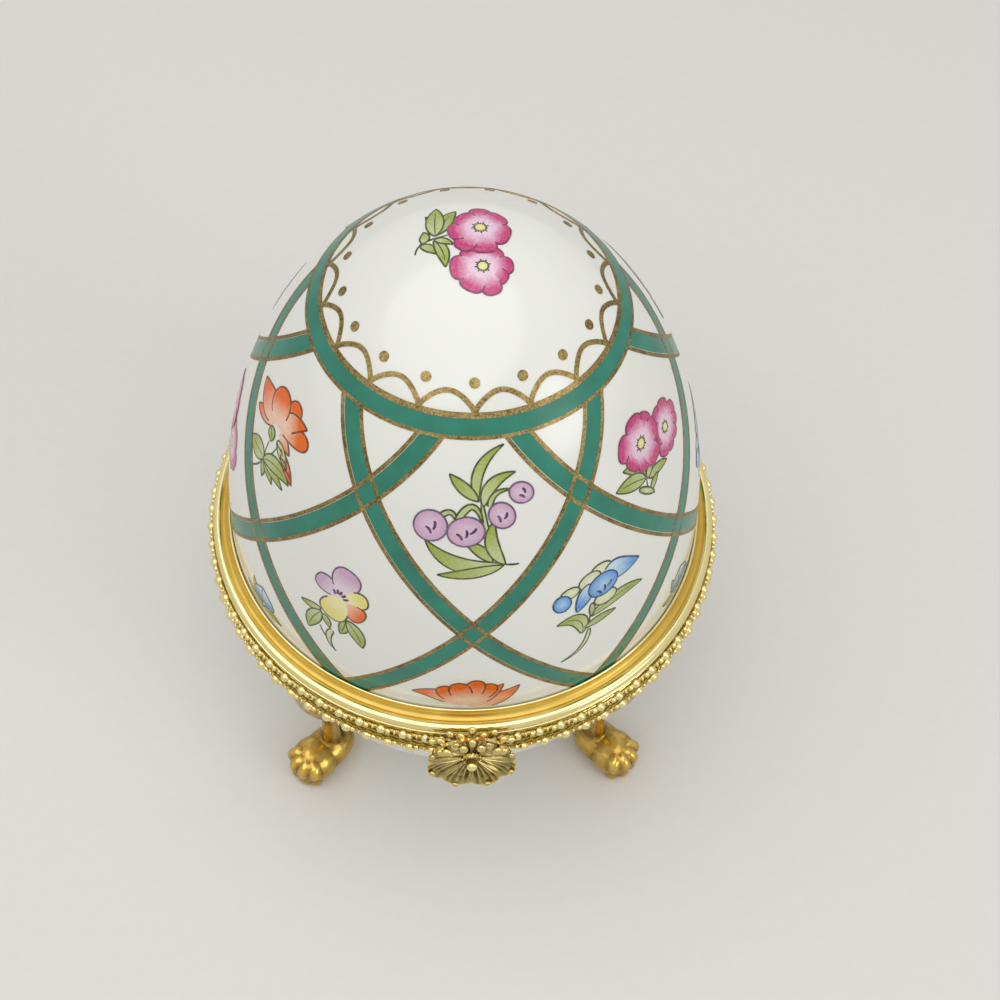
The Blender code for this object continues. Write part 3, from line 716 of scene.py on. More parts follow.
def disc(spot, x, y, wide, high, turn, lift, slot, heart_shade=0.4, edge_shade=1.0, outlined=False):
    """Filled ellipse, with a pen outline if wanted."""
    angles = np.linspace(0, 2 * pi, 20, endpoint=False)
    rim = np.stack([wide * np.cos(angles), high * np.sin(angles)], axis=1)
    loops = [spot.at(turned_flat(rim * share, x, y, turn)) for share in (0.3, 0.55, 0.8, 1.0)]
    shades = [heart_shade + (edge_shade - heart_shade) * share for share in (0.25, 0.5, 0.75, 1.0)]
    spot.paint.patch(loops, spot.at((x, y))[0], shades, heart_shade, lift, slot)
    if outlined:
        spot.paint.ribbon(loops[-1], PEN_WIDTH, PENS[slot], lift + PEN_RISE, PEN, closed=True)


def stroke(spot, flat, width, lift=STEM_LIFT, pen=OLIVE_PEN):
    """Pen stroke curved through (x, y) pairs, thinning at its ends."""
    flat = np.asarray(flat, dtype=float)
    knots = np.concatenate([[0], np.cumsum(np.hypot(*np.diff(flat, axis=0).T))])
    count = max(4, int(knots[-1] / 0.4))
    shares = np.linspace(0, knots[-1], count)
    power = min(3, len(flat) - 1)
    flat = np.stack([np.polyval(np.polyfit(knots, flat[:, axis], power), shares) for axis in (0, 1)], axis=1)
    swell = 0.45 + 0.55 * np.sin(np.linspace(0.12, 1, count) * pi * 0.92)
    spot.paint.ribbon(spot.at(flat), width * swell, pen, lift, PEN)


def blade(spot, ends, width, bend, lift, slot, shape, tones, inked=0.0):
    """Leaf or petal from its stalk to its tip, its middle bent sideways, with its pen outline.

    Its colour goes from the first to the last of the two tones, over the middle half of
    its length, and the outline starts at the inked share of it.
    """
    start, tip = np.array(ends, dtype=float).reshape(2, 2)
    chord = tip - start
    side = np.array([-chord[1], chord[0]]) / np.hypot(*chord)
    shares = 0.5 - 0.5 * np.cos(np.linspace(0.06, pi - 0.06, 15 if np.hypot(*chord) < 6 else 21))
    middle = start + shares[:, None] * chord + (4 * shares * (1 - shares))[:, None] * side * bend
    swell = shares ** shape[0] * (1 - shares) ** shape[1]
    half = (width / 2 * swell / swell.max())[:, None]
    shades = tones[0] + (tones[1] - tones[0]) * np.clip((shares - 0.25) / 0.55, 0, 1)
    spot.paint.ribbon(spot.at(middle), 2 * half[:, 0], shades, lift, slot, across=3 if width < 2 else 5)
    ahead = np.gradient(middle, axis=0)
    across = np.stack([-ahead[:, 1], ahead[:, 0]], axis=1) / np.hypot(*ahead.T)[:, None]
    shown = shares >= inked
    edge = np.concatenate([(middle + across * half)[shown], (middle - across * half)[shown][::-1]])
    spot.paint.ribbon(spot.at(edge), PEN_WIDTH, PENS[slot], lift + PEN_RISE, PEN)


def leaves(spot, rows, ribbed=True):
    """Leaves from rows of stalk, tip, width and bend; the broad ones get a rib."""
    for number, (x0, y0, x1, y1, width, bend) in enumerate(rows):
        height = LEAF_LIFT + LAP * number
        tones = (0.55 + 0.1 * (number % 3), 1.0)
        blade(spot, (x0, y0, x1, y1), width, bend, height, LEAF, LEAF_SHAPE, tones)
        if ribbed and width > 1.5:
            chord = np.array([x1 - x0, y1 - y0])
            side = np.array([-chord[1], chord[0]]) / np.hypot(*chord)
            rib = [(x0, y0) + chord * share + side * bend * 4 * share * (1 - share)
                   for share in (0.0, 0.3, 0.6, 0.8)]
            stroke(spot, rib, 0.17, height + PEN_RISE)


def petals(spot, lift, slot, shape, tones, rows, inked=0.0):
    """Petals from rows of heart, tip, width and bend, each laid over the one before."""
    for number, (x0, y0, x1, y1, width, bend) in enumerate(rows):
        blade(spot, (x0, y0, x1, y1), width, bend, lift + LAP * number, slot, shape, tones, inked)


def rose(spot, x, y, tips, lift):
    """Dog rose: petals from its pale heart to the given tips, an eye and a ring of stamens."""
    tips = np.array(tips, dtype=float)
    gaps = np.hypot(*(tips - np.roll(tips, 1, axis=0)).T)
    widths = np.clip(0.44 * (gaps + np.roll(gaps, -1)), 1.5, 3.9)
    rows = [(x, y, *tip, width, 0) for tip, width in zip(tips, widths)]
    petals(spot, lift, ROSE, FANNED, (0.0, 1.0), rows, 0.55)
    size = np.hypot(*(tips - (x, y)).T).mean()
    top = lift + LAP * len(tips)
    disc(spot, x, y, 0.50 * size, 0.48 * size, 0, top, ROSE, 0.0, 0.30)
    for number in range(STAMENS):
        way = np.array([cos(number * 2 * pi / STAMENS), sin(number * 2 * pi / STAMENS)]) * size
        ends = [(x, y) + way * 0.14, (x, y) + way * (0.23 + 0.05 * (number % 2))]
        stroke(spot, ends, 0.27, top + PEN_RISE)
    disc(spot, x, y, 0.15 * size, 0.15 * size, 0, top + 2 * PEN_RISE, YELLOW, 0.3, 1.0)


def bud(spot, x, y, wide, high, turn, lift, slot, ticks=2):
    """Round bud with its outline and a few short slanting pen marks."""
    drop = 0.4 if slot == BLUE else 0.15
    pen = PLUM_PEN if slot == LILAC else PENS[slot]
    disc(spot, x, y, wide, high, turn, lift, slot, 0.35, 0.95, True)
    for number in range(ticks):
        shift = number - (ticks - 1) / 2
        mark = np.array([(-0.05, 0.62), (0.1, 0.0), (-0.05, -0.62)]) * high * 0.45
        mark = turned_flat(mark, shift * 0.95, -drop * high + 0.25 * shift, -14 - 40 * shift)
        stroke(spot, turned_flat(mark, x, y, turn), 0.42, lift + 0.004, pen)


def arch(spot, ends, bend, lift, width=0.8):
    """Arching stalk drawn as a narrow green band with its outline."""
    blade(spot, ends, width, bend, lift, LEAF, STALK, (0.6, 0.85))


def crown_roses(spot):
    """Two dog roses and their leaves on the crown."""
    stroke(spot, [(-7.3, 0.4), (-6.3, 2.15), (-4.0, 2.9), (-2.8, 3.2)], 0.34)
    leaves(spot, [
        (-6.4, 2.2, -6.2, 4.3, 1.3, -0.3), (-6.6, 1.7, -4.5, 0.0, 1.2, 0.3),
        (-4.75, 2.4, -3.4, -2.2, 1.6, 0.4), (-4.75, 2.4, -2.4, 1.4, 1.0, 0.2),
        (-4.6, 3.4, -5.9, 7.8, 1.6, -0.4), (-4.3, 3.4, -1.9, 8.2, 2.2, 0.3),
        (-4.6, 3.2, -4.5, 9.5, 2.4, 0.1)])
    rose(spot, 1.3, -2.3, [
        (-0.4, 0.8), (3.05, 0.8), (5.2, -1.8), (4.3, -4.2), (2.7, -6.3), (-0.6, -5.8), (-2.8, -2.5)], 0.066)
    rose(spot, 1.2, 4.3, [
        (1.3, 8.75), (4.1, 7.3), (4.95, 3.0), (1.6, -0.2), (-1.5, 0.4), (-2.9, 3.4), (-1.5, 6.9)], 0.117)


def bell_spray(spot):
    """Lilac bell buds on an arching stem with long leaves."""
    stroke(spot, [(5.9, -1.0), (4.9, -1.1), (3.9, -1.0)], 0.36)
    blade(spot, (1.7, 3.0, 0.9, 8.9), 0.8, 0.1, STEM_LIFT, LEAF, STALK, (0.3, 0.5))
    leaves(spot, [
        (3.9, -1.0, -6.5, 3.1, 2.3, 2.1), (3.7, -1.2, -4.9, -2.6, 1.6, 0.5),
        (2.3, -0.6, -1.3, 2.6, 1.6, -0.3), (4.0, -1.0, 2.6, 6.0, 1.8, 1.1), (0.4, 8.9, 3.8, 18.2, 1.4, 1.6),
        (0.4, 9.1, -3.3, 13.4, 1.6, 0.1), (1.1, 8.2, 5.3, 13.7, 1.6, 1.2)], False)
    arch(spot, (-4.9, 6.3, -2.3, 5.6), 1.5, 0.066)
    arch(spot, (-2.3, 6.0, 1.0, 5.6), 2.4, 0.072, 0.95)
    arch(spot, (1.9, 8.2, 4.7, 10.9), 0.9, 0.066, 0.7)
    bud(spot, 6.1, 10.4, 1.7, 1.65, 60, 0.078, LILAC)
    bud(spot, 3.5, 6.8, 1.75, 2.05, 15, 0.078, LILAC)
    bud(spot, -5.8, 5.4, 2.2, 2.5, 25, 0.078, LILAC)
    bud(spot, -1.15, 4.3, 2.45, 2.3, 10, 0.086, LILAC, 3)


def lily_spray(spot):
    """Orange lily over a fan of leaves, with a brown cone beside it."""
    stroke(spot, [(-6.0, -6.45), (-4.0, -4.8), (-2.9, -2.7)], 0.3)
    stroke(spot, [(-2.9, -2.7), (-3.1, -1.0), (-3.0, 0.6)], 0.24)
    stroke(spot, [(-2.9, -2.7), (-1.4, 0.0), (-1.0, 1.5)], 0.24)
    leaves(spot, [
        (-2.9, -2.7, -7.7, -2.6, 3.1, -0.2), (-2.9, -2.7, -2.2, -5.3, 1.2, 0.2),
        (-2.9, -2.7, 0.4, -4.4, 1.4, 0.2), (-2.9, -2.7, 2.7, -3.2, 1.5, 0.3),
        (-2.9, -2.7, 3.5, -1.5, 2.4, 0.9), (-3.9, 2.7, -2.7, 0.9, 1.7, 0.2)])
    petals(spot, 0.060, ORANGE, POINTED, (0.3, 0.75), [(-1.6, 3.4, 1.6, 2.3, 1.6, 0.2)], 0.2)
    blade(spot, (0.4, 1.4, 3.9, -1.0), 1.6, 0.1, 0.060, ORANGE, POINTED, (0.8, 1.0))
    blade(spot, (-1.4, 2.2, 2.2, 0.2), 1.7, 0.1, 0.072, LEAF, POINTED, (0.4, 0.8))
    for number, share in enumerate(np.linspace(0.08, 0.82, 9)):
        mark = turned_flat(np.array([(-0.5, 0.0), (0.0, 0.1), (0.5, 0.0)]), 0, (-0.3, 0.0, 0.3)[number % 3],
                           (-28, 24, -8)[number % 3])
        stroke(spot, turned_flat(mark, -1.3 + 5.0 * share, 2.1 - 3.0 * share, -31), 0.3, 0.078, RUST_PEN)
    petals(spot, 0.060, ORANGE, (0.5, 0.7), (0.35, 1.0), [(-3.7, 3.6, -9.0, 2.6, 2.2, 0.2)], 0.1)
    petals(spot, 0.066, ORANGE, POINTED, (0.25, 1.1), [(-3.2, 4.1, -10.25, 7.0, 4.3, 0.3)], 0.15)
    petals(spot, 0.072, ORANGE, ROUNDED, (0.25, 1.2), [
        (-1.4, 4.6, -0.4, 9.9, 3.0, 0.2), (-2.2, 4.0, 3.9, 6.25, 3.0, 0.3)], 0.15)
    petals(spot, 0.084, ORANGE, POINTED, (0.2, 1.1), [(-1.9, 4.5, 2.5, 8.2, 2.8, 0.7)], 0.3)
    petals(spot, 0.090, ORANGE, (0.75, 0.55), (0.2, 1.2), [(-2.6, 3.7, -4.9, 9.3, 4.7, 0.0)], 0.25)


def rose_spray(spot):
    """Two dog roses leaning together over their leaves."""
    stroke(spot, [(-4.5, 0.1), (-4.6, -2.2), (-3.8, -3.4)], 0.3)
    leaves(spot, [
        (-4.4, 0.7, -7.8, 5.0, 1.6, -0.5), (-4.6, 0.3, -10.2, 3.4, 2.4, -0.3),
        (-4.1, -0.2, 0.6, -1.45, 1.5, 0.2), (-4.3, 0.0, -2.25, 1.3, 1.2, 0.2),
        (-4.3, -2.3, -2.0, -1.2, 1.1, 0.2)])
    disc(spot, -5.2, -1.5, 1.9, 0.5, -50, 0.054, LEAF, 0.2, 1.0, True)
    rose(spot, 2.7, 2.8, [
        (1.8, 6.7), (4.7, 6.5), (7.0, 3.6), (6.6, 1.2), (5.05, -0.5), (2.6, -1.3), (0.3, -0.6),
        (0.2, 3.4)], 0.056)
    rose(spot, -3.1, 5.6, [
        (0.25, 8.3), (-2.6, 10.1), (-7.0, 8.3), (-6.5, 4.0), (-4.0, 1.5), (-1.2, 0.9), (1.1, 5.1)], 0.113)


def pansy_spray(spot):
    """Pansy in lilac, yellow and orange over its leaves."""
    stroke(spot, [(-4.2, -6.9), (-3.6, -8.2), (-2.8, -9.2)], 0.28)
    blade(spot, (-2.1, -6.6, -1.4, -11.3), 1.0, -0.9, STEM_LIFT, LEAF, (0.3, 1.1), (0.3, 0.6))
    leaves(spot, [
        (-4.1, -3.1, -7.75, -3.5, 1.3, 0.2), (-3.8, -4.0, -2.5, -6.3, 1.2, 0.2),
        (0.0, -2.9, -0.8, -6.3, 1.6, 0.2), (-4.0, -3.7, -6.3, -8.9, 2.4, -0.4),
        (0.2, -2.8, 2.9, -7.35, 2.3, 0.4)])
    petals(spot, 0.054, LILAC, ROUNDED, (0.1, 0.85), [
        (-0.9, 1.6, -5.2, 3.4, 3.3, 0.0), (-0.7, 1.5, 0.1, 7.25, 4.4, 0.3)], 0.25)
    petals(spot, 0.066, YELLOW, ROUNDED, (0.3, 1.0), [(-0.6, 1.6, 3.1, 2.7, 3.0, 0.1)], 0.4)
    petals(spot, 0.072, ORANGE, ROUNDED, (0.4, 1.0), [(-0.3, 0.4, 2.7, -1.15, 3.4, 0.0)], 0.3)
    petals(spot, 0.078, YELLOW, ROUNDED, (0.3, 1.0), [(-0.4, 1.2, -3.0, -3.5, 4.5, 0.0)], 0.35)
    for x, y, turn in ((-2.1, 2.0, -25), (-1.6, 2.3, 0), (-1.1, 2.3, 25), (-0.6, 2.0, 45), (-0.2, 1.5, 60)):
        mark = turned_flat(np.array([(0.0, -0.45), (0.08, 0.0), (0.0, 0.45)]), x, y, -turn)
        stroke(spot, mark, 0.44, 0.084, PLUM_PEN)


def blue_spray(spot):
    """Blue buds and an opening flower on a leaning stem."""
    blade(spot, (-1.5, -4.6, -6.1, -9.9), 0.7, 1.3, STEM_LIFT, LEAF, (0.3, 0.9), (0.35, 0.6))
    stroke(spot, [(-0.9, 0.6), (-1.3, -2.1), (-1.65, -4.6)], 0.28)
    leaves(spot, [
        (-2.7, -4.9, -6.45, -0.9, 2.3, -1.9), (-1.1, -2.1, 8.4, -1.2, 2.1, 1.0),
        (-2.2, -3.9, 3.1, -3.4, 1.4, 0.2), (-0.9, 0.6, -1.1, -2.1, 0.9, 0.1)])
    for number, (x, y, wide, high, turn) in enumerate((
            (-4.1, 4.6, 1.5, 1.0, 5), (1.1, 6.4, 1.7, 1.1, 0), (-0.9, 5.4, 1.8, 1.3, 15),
            (1.4, 0.5, 1.9, 1.3, 0))):
        disc(spot, x, y, wide, high, turn, 0.048 + LAP * number, LEAF, 0.0, 0.35, True)
    bud(spot, -5.4, 3.2, 1.35, 1.6, 15, 0.072, BLUE, 0)
    petals(spot, 0.078, BLUE, ROUNDED, (0.9, 0.2), [(-3.3, 0.3, -0.8, 4.6, 2.4, 0.0)])
    petals(spot, 0.084, BLUE, (0.5, 1.0), (0.1, 0.9), [(1.6, 5.7, 7.9, 4.2, 3.6, -0.4)])
    bud(spot, 1.15, 3.35, 2.5, 2.15, 10, 0.090, BLUE, 3)


def low_lily(spot):
    """Orange lily that the rim cuts across."""
    petals(spot, 0.024, ORANGE, POINTED, (0.2, 1.0), [
        (-0.8, -2.7, -8.75, 0.1, 3.2, -1.1), (-0.8, -2.7, 6.9, 1.7, 3.2, -1.0),
        (-0.8, -2.7, 4.5, 2.6, 3.0, -0.2)], 0.35)
    petals(spot, 0.042, ORANGE, ROUNDED, (0.1, 1.0), [
        (-0.8, -2.7, -4.4, 2.2, 3.2, 0.2), (-0.8, -2.7, 3.0, 2.8, 3.0, -0.2),
        (-0.8, -2.7, 0.9, 3.9, 3.0, 0.0), (-0.8, -2.7, -2.1, 3.2, 3.2, 0.0)], 0.45)


def low_bell(spot):
    """Small blue bell over leaves, close to the rim."""
    leaves(spot, [
        (0.2, -1.8, -4.6, -0.4, 1.6, 0.3), (0.2, -1.8, 4.8, -1.2, 1.6, 0.4),
        (0.0, -1.6, -2.2, 3.6, 1.3, 0.4)])
    petals(spot, 0.042, BLUE, FANNED, (0.2, 1.0), [
        (0.4, 3.8, -1.4, -0.4, 2.8, 0.0), (0.4, 3.8, 2.2, -0.3, 2.9, 0.0)])


SPRIG_PLACES = (             # sprig, degrees from the clasp, rise above the seam, degrees turned
    (crown_roses, 0, LID_HEIGHT - 0.0063, 0),
    (bell_spray, 0, 37.0, 0), (lily_spray, -60, 38.0, 0), (rose_spray, 60, 38.0, 0),
    (pansy_spray, -120, 37.0, 0), (blue_spray, 120, 40.5, 26), (bell_spray, 180, 37.0, 0),
    (pansy_spray, -30, 23.8, 0), (blue_spray, 30, 23.8, 0), (rose_spray, -90, 22.5, 0),
    (blue_spray, 89, 22.6, 8), (lily_spray, 150, 23.0, 0), (rose_spray, -150, 22.5, 0),
    (low_lily, 0, 9.3, 0), (low_bell, -57, 8.8, 0), (low_bell, 60, 9.0, 0),
    (low_lily, 120, 9.3, 0), (low_bell, 180, 9.0, 0), (low_lily, -120, 9.3, 0))


def painted_sprigs():
    """All the sprigs in one mesh."""
    paint = Paint()
    for draw, azimuth, rise, turn in SPRIG_PLACES:
        draw(Spot(paint, azimuth, rise, turn))
    return paint.mesh("painted_sprigs", [
        painted_colour("rose_pink_overglaze", "#f2deef", "#c83a7a"),
        painted_colour("orange_overglaze", "#f4dcc4", "#ea6800"),
        painted_colour("lilac_overglaze", "#e9dbe4", "#c79cbe"),
        painted_colour("yellow_overglaze", "#f2efc4", "#e6dc7c"),
        painted_colour("blue_overglaze", "#d2e8f4", "#2f8ad6"),
        painted_colour("leaf_green_overglaze", "#e6eac6", "#9cac48"), pen_colours()])


# Metalwork

def arc_points(x, y, radius, start, end, steps, slot=0):
    """(x, y, slot) points of a circular arc, by degrees."""
    return [(x + radius * cos(radians(turn)), y + radius * sin(radians(turn)), slot)
            for turn in np.linspace(start, end, steps)]


def bezel_section(flange_inner):
    """(radius, height above the seam, slot) round the bezel's section: slot 0 polished, 1 satin, whose deeper
    orange gilt is partly a painted reflection.
    """
    section = [
        (flange_inner, SEAM_HALF_GAP, 0), (WALL - 0.1, SEAM_HALF_GAP, 0), (WALL, SEAM_HALF_GAP + 0.1, 0),
        (WALL, 2.44, 0), (WALL + 0.08, 2.52, 0)]
    section += arc_points(WALL + 0.55, 2.66, 0.15, -80, 80, 6)
    section += [(WALL + 0.12, 2.84, 0)]
    section += arc_points(WALL - 0.1, 3.62, 0.8, -62, 128, 18)
    section += arc_points(BORE + 1.3, 5.12, 1.07, 262, 184, 10, 1)
    section += arc_points(BORE, BEZEL_HEIGHT - 0.2, 0.2, 20, 160, 6)
    section += [(BORE - 0.22, BEZEL_HEIGHT - 0.35, 0), (BORE - 0.2, BEZEL_HEIGHT - 0.7, 0),
                (BORE, BEZEL_HEIGHT - 1.0, 0), (BORE, FLANGE_TOP, 0), (flange_inner, FLANGE_TOP, 0)]
    return section


def rim(name, up, flange_inner, materials):
    """Turned bezel: up is +1 for the lid's and -1 for the bowl's, which carries the locating collar."""
    section = [(ring, SEAM + up * height, slot) for ring, height, slot in bezel_section(flange_inner)]
    if up < 0:
        top = SEAM + COLLAR_RISE
        section += [
            (COLLAR_INNER, top - 0.15, 0), (COLLAR_INNER + 0.15, top, 0), (COLLAR_OUTER - 0.15, top, 0),
            (COLLAR_OUTER, top - 0.15, 0), (COLLAR_OUTER, SEAM - SEAM_HALF_GAP, 0)]
    profile = [point[:2] for point in section]
    return turned(name, profile, materials, steps=240, slots=[point[2] for point in section])


def wire_path(side, first, last, ring, rise, sway):
    """Path round the rim between two bead numbers; sway makes it zigzag in height, twice for each bead."""
    numbers = np.arange(first, last + 0.01, 0.125)
    turns = side * numbers * PITCH
    heights = SEAM + rise + sway * (2 / pi) * np.arcsin(np.sin(numbers * 4 * pi))
    return np.stack([ring * np.sin(turns), -ring * np.cos(turns), heights], axis=1)


def beading(name, up, gilt, toned_and_shaded, ring, rise, pearl, drift):
    """Both beaded wire strips of one rim: up is +1 for the lid's and -1 for the bowl's.

    Each pearl has a small companion and a reel beside it. Under them run small beads along
    the seam and a zigzag wire, in the core's darker gilt, which is partly toning and partly
    painted shade between the pearls. The pearls sit drift bead numbers round from the others.
    """
    tree = beads_tree()
    strips = []
    for side in (-1, 1):
        first = FIRST_BEAD + side * drift
        for beads, start, spacing, out, height, size, width, sides, rings, finish in (
                (BEADS, first, 1.0, ring, rise, pearl, pearl, 12, 7, gilt),
                (1, 1.3, 1.0, ring - 0.1, rise, 0.62, 0.62, 12, 7, gilt),
                (BEADS, first - 0.31, 1.0, ring + 0.05, rise - 0.12, 0.5, 0.5, 8, 5, gilt),
                (BEADS + 1, first - 0.62, 1.0, ring, rise, 0.46, 0.24, 8, 5, gilt),
                (2 * BEADS + 2, 1.2, 0.5, 39.45, SMALL_RISE, 0.34, 0.34, 6, 5, toned_and_shaded)):
            strips.append(run_tree("strip", bpy.data.meshes.new("empty"), tree, {
                "Beads": beads, "First Turn": side * start * PITCH, "Pitch": side * spacing * PITCH,
                "Ring Radius": out * MM, "Height": (SEAM + up * height) * MM, "Bead Radius": size * MM,
                "Bead Width": width * MM, "Sides": sides, "Rings": rings, "Finish": finish}))
        last = FIRST_BEAD + BEADS - 0.4
        for start, out, height, sway, radius, sides in (
                (1.2, ring - 0.1, rise, 0.0, 0.28, 7), (1.1, 39.4, SMALL_RISE, 0.0, 0.2, 7),
                (1.15, 39.75, 1.2, 0.34, 0.16, 5)):
            path = wire_path(side, start, last, out, up * height, sway)
            strips.append(wire("strip", path, radius, toned_and_shaded, sides))
    return join_meshes(name, strips)


def open_flower(gilt):
    """Eight petals in one skin, facing +Z: hollowed, raised at their edges, where the cast gilt paints a
    highlight, finely veined.
    """
    turns = np.linspace(0, 2 * pi, 256, endpoint=False)
    edge = np.abs(turns * 4 / pi % 1 * 2 - 1)
    uneven = 1 + 0.025 * np.sin(turns * 3 + 1) + 0.02 * np.sin(turns * 5)
    rows = []
    for share in np.linspace(0.1, 1, 28):
        reach = share * 6.6 * (1 - 0.10 * edge ** 4 * share) * uneven ** share
        lift = 0.3 + 1.0 * share ** 1.5 + 0.75 * edge ** 5 * sin(pi * (0.2 + 0.65 * share))
        veins = 0.13 * np.cos(edge * pi * 5) * sin(pi * share) ** 0.6
        lift += veins + 2.2 * max(0.0, share - 0.8) * (1 - edge ** 2)
        rows.append(np.stack([reach * np.sin(turns), reach * np.cos(turns), lift], axis=1))
    brim = rows[-1]
    for share, drop in ((0.99, 0.5), (0.6, 0.7), (0.14, 0.6)):
        rows.append((brim - (0, 0, drop)) * share)
    return lofted("petals", rows, [gilt])


def clasp_flower(gilt):
    """Clasp's thumb-piece: the open flower with curled tips, pistil and stamens, and buds over its top."""
    copies = copies_tree()
    pistil = [
        (0, 2.75), (0.45, 2.66), (0.75, 2.4), (0.85, 2.05), (0.8, 1.4), (0.95, 0.9), (1.2, 0.6), (0.9, 0.1),
        (0.9, -2.2), (0, -2.2)]
    parts = [open_flower(gilt), turned("pistil", pistil, [gilt], steps=28)]
    for centre, half, count, first in (((0, 1.35, 0.75), (0.25, 0.25, 0.35), 9, 0.2),
                                       ((0, 6.2, 1.8), (0.55, 0.42, 0.36), 8, pi / 8)):
        parts.append(run_tree("curls", ball(centre, half, subdivisions=3), copies,
                              {"Copies": count, "First Turn": first, "Finish": gilt}))
    for turn, reach, lift in (
            (0, 6.4, 0.1), (14, 6.0, 0.75), (-14, 6.0, 0.7), (27, 6.3, 0.2), (-27, 6.3, 0.1), (42, 6.1, 0.6),
            (-42, 6.1, 0.5), (56, 6.2, 0.0), (-56, 6.2, 0.0)):
        for centre, half in (((0, reach, lift), (0.62, 1.25, 0.5)),
                             ((0, reach - 0.8, lift + 1.35), (0.66, 0.8, 0.5))):
            leaf = ball(centre, half, subdivisions=3)
            leaf.transform(Matrix.Rotation(radians(turn), 4, "Z"))
            leaf.materials.append(gilt)
            parts.append(leaf)
    mesh = join_meshes("clasp_flower", parts)
    place = Vector((0, -CLASP_REACH, SEAM)) * MM
    mesh.transform(Matrix.Translation(place) @ Matrix.Rotation(radians(CLASP_TILT), 4, "X"))
    # the hollows' share: the cast gilt paints toning and shade into the flower's hollows and a highlight on
    # its crests
    mark_hollows(mesh, depth=0.36, rounds=6, level=0.66)
    return mesh


def ball(centre, half, turn=0.0, tilt=0.0, subdivisions=4):
    """Ellipsoid of the given middle and half sizes in millimetres, tilted about X, then turned about Z."""
    bm = bmesh.new()
    bmesh.ops.create_icosphere(bm, subdivisions=subdivisions, radius=MM)
    spin = Matrix.Rotation(radians(turn), 4, "Z") @ Matrix.Rotation(radians(tilt), 4, "X")
    bm.transform(Matrix.Translation(Vector(centre) * MM) @ spin @ Matrix.Diagonal((*half, 1.0)))
    return mesh_of("ball", bm)


def leg_stem():
    """Stem of the leg lofted through rounded sections, with a raised rib down its face."""
    loops = []
    turns = np.linspace(0, 2 * pi, 20, endpoint=False)
    round_cos, round_sin = (np.sign(way) * np.abs(way) ** 0.7 for way in (np.cos(turns), np.sin(turns)))
    for depth in np.linspace(STEM_TOP, STEM_BOTTOM, 34):
        rise = min(1.0, (depth + EQUATOR) / BOWL_RISE)
        hugging = EGG_RADIUS * (1 - rise ** BOWL_FULLNESS) ** (1 / BOWL_FULLNESS) + 1.2
        middle = (hugging ** STEM_BEND + ANKLE_RADIUS ** STEM_BEND) ** (1 / STEM_BEND)
        along = (depth - BEZEL_HEIGHT) / (ANKLE_DEPTH - BEZEL_HEIGHT)
        knee = max(0.0, 1 - along * 2.6)
        ankle = max(0.0, (along - 0.72) / 0.28)
        width = 2.9 + 3.5 * knee * knee * (3 - 2 * knee) + 0.5 * ankle
        thickness = 1.5 + 1.9 * ankle
        across = round_cos * width / 2
        outward = round_sin * thickness / 2
        outward += np.where(np.sin(turns) > 0, 0.35 * np.exp(-(across / 0.55) ** 2), 0)
        loops.append(np.stack([across, -(middle + outward), np.full(len(turns), SEAM - depth)], axis=1))
    return lofted("stem", loops)


def paw_leg(gilt):
    """One cast leg facing -Y: stem, knee leaf, ankle, rounded paw and toes grown into one skin."""
    parts = [leg_stem()]
    for out, height, half, tilt in (
            (37.4, 32.0, (2.6, 0.9, 2.2), 10), (36.9, 28.4, (1.3, 0.8, 2.4), 6),
            (31.9, 5.4, (1.9, 2.0, 2.6), 0), (33.1, 3.2, (3.6, 5.5, 3.2), 0),
            (36.1, 3.4, (4.0, 4.1, 3.4), 0)):
        parts.append(ball((0, -out, height), half, tilt=tilt))
    for number in range(4):
        turn = (number - 1.5) * 33
        way = np.array([sin(radians(turn)), -cos(radians(turn)), 0])
        parts.append(ball(way * 2.45 + (0, -36.1, 4.6), (1.35, 2.2, 1.85), turn, 26))
        parts.append(ball(way * 3.1 + (0, -36.1, 1.6), (1.15, 1.2, 1.6), turn))
    bm = bmesh.new()
    for part in parts:
        bm.from_mesh(part)
    for vertex in bm.verts:
        vertex.co.z = max(vertex.co.z, 0.0)
    maker = add_object("paw_maker", mesh_of("paw_leg", bm))
    skin = maker.modifiers.new("skin", "REMESH")
    skin.mode = "VOXEL"
    skin.voxel_size = PAW_VOXEL * MM
    smooth = maker.modifiers.new("smooth", "SMOOTH")
    smooth.factor, smooth.iterations = 0.5, 6
    thin = maker.modifiers.new("thin", "DECIMATE")
    thin.ratio = 0.4
    mesh = baked("paw", maker, gilt)
    for vertex in mesh.vertices:
        vertex.co.z = max(vertex.co.z, 0.0)
    return mesh


def paw_legs(gilt):
    """The four legs at their places round the bowl."""
    one = paw_leg(gilt)
    legs = []
    for turn in (LEG_TURN, -LEG_TURN, 180 - LEG_TURN, LEG_TURN - 180):
        leg = one.copy()
        leg.transform(Matrix.Rotation(radians(turn), 4, "Z"))
        legs.append(leg)
    mesh = join_meshes("paw_legs", legs)
    # the paws get toning and painted shade in their grooves and hollows, and a painted highlight on the toes'
    # crests
    mark_hollows(mesh, depth=0.35, rounds=8, level=0.55)
    return mesh


# Scene

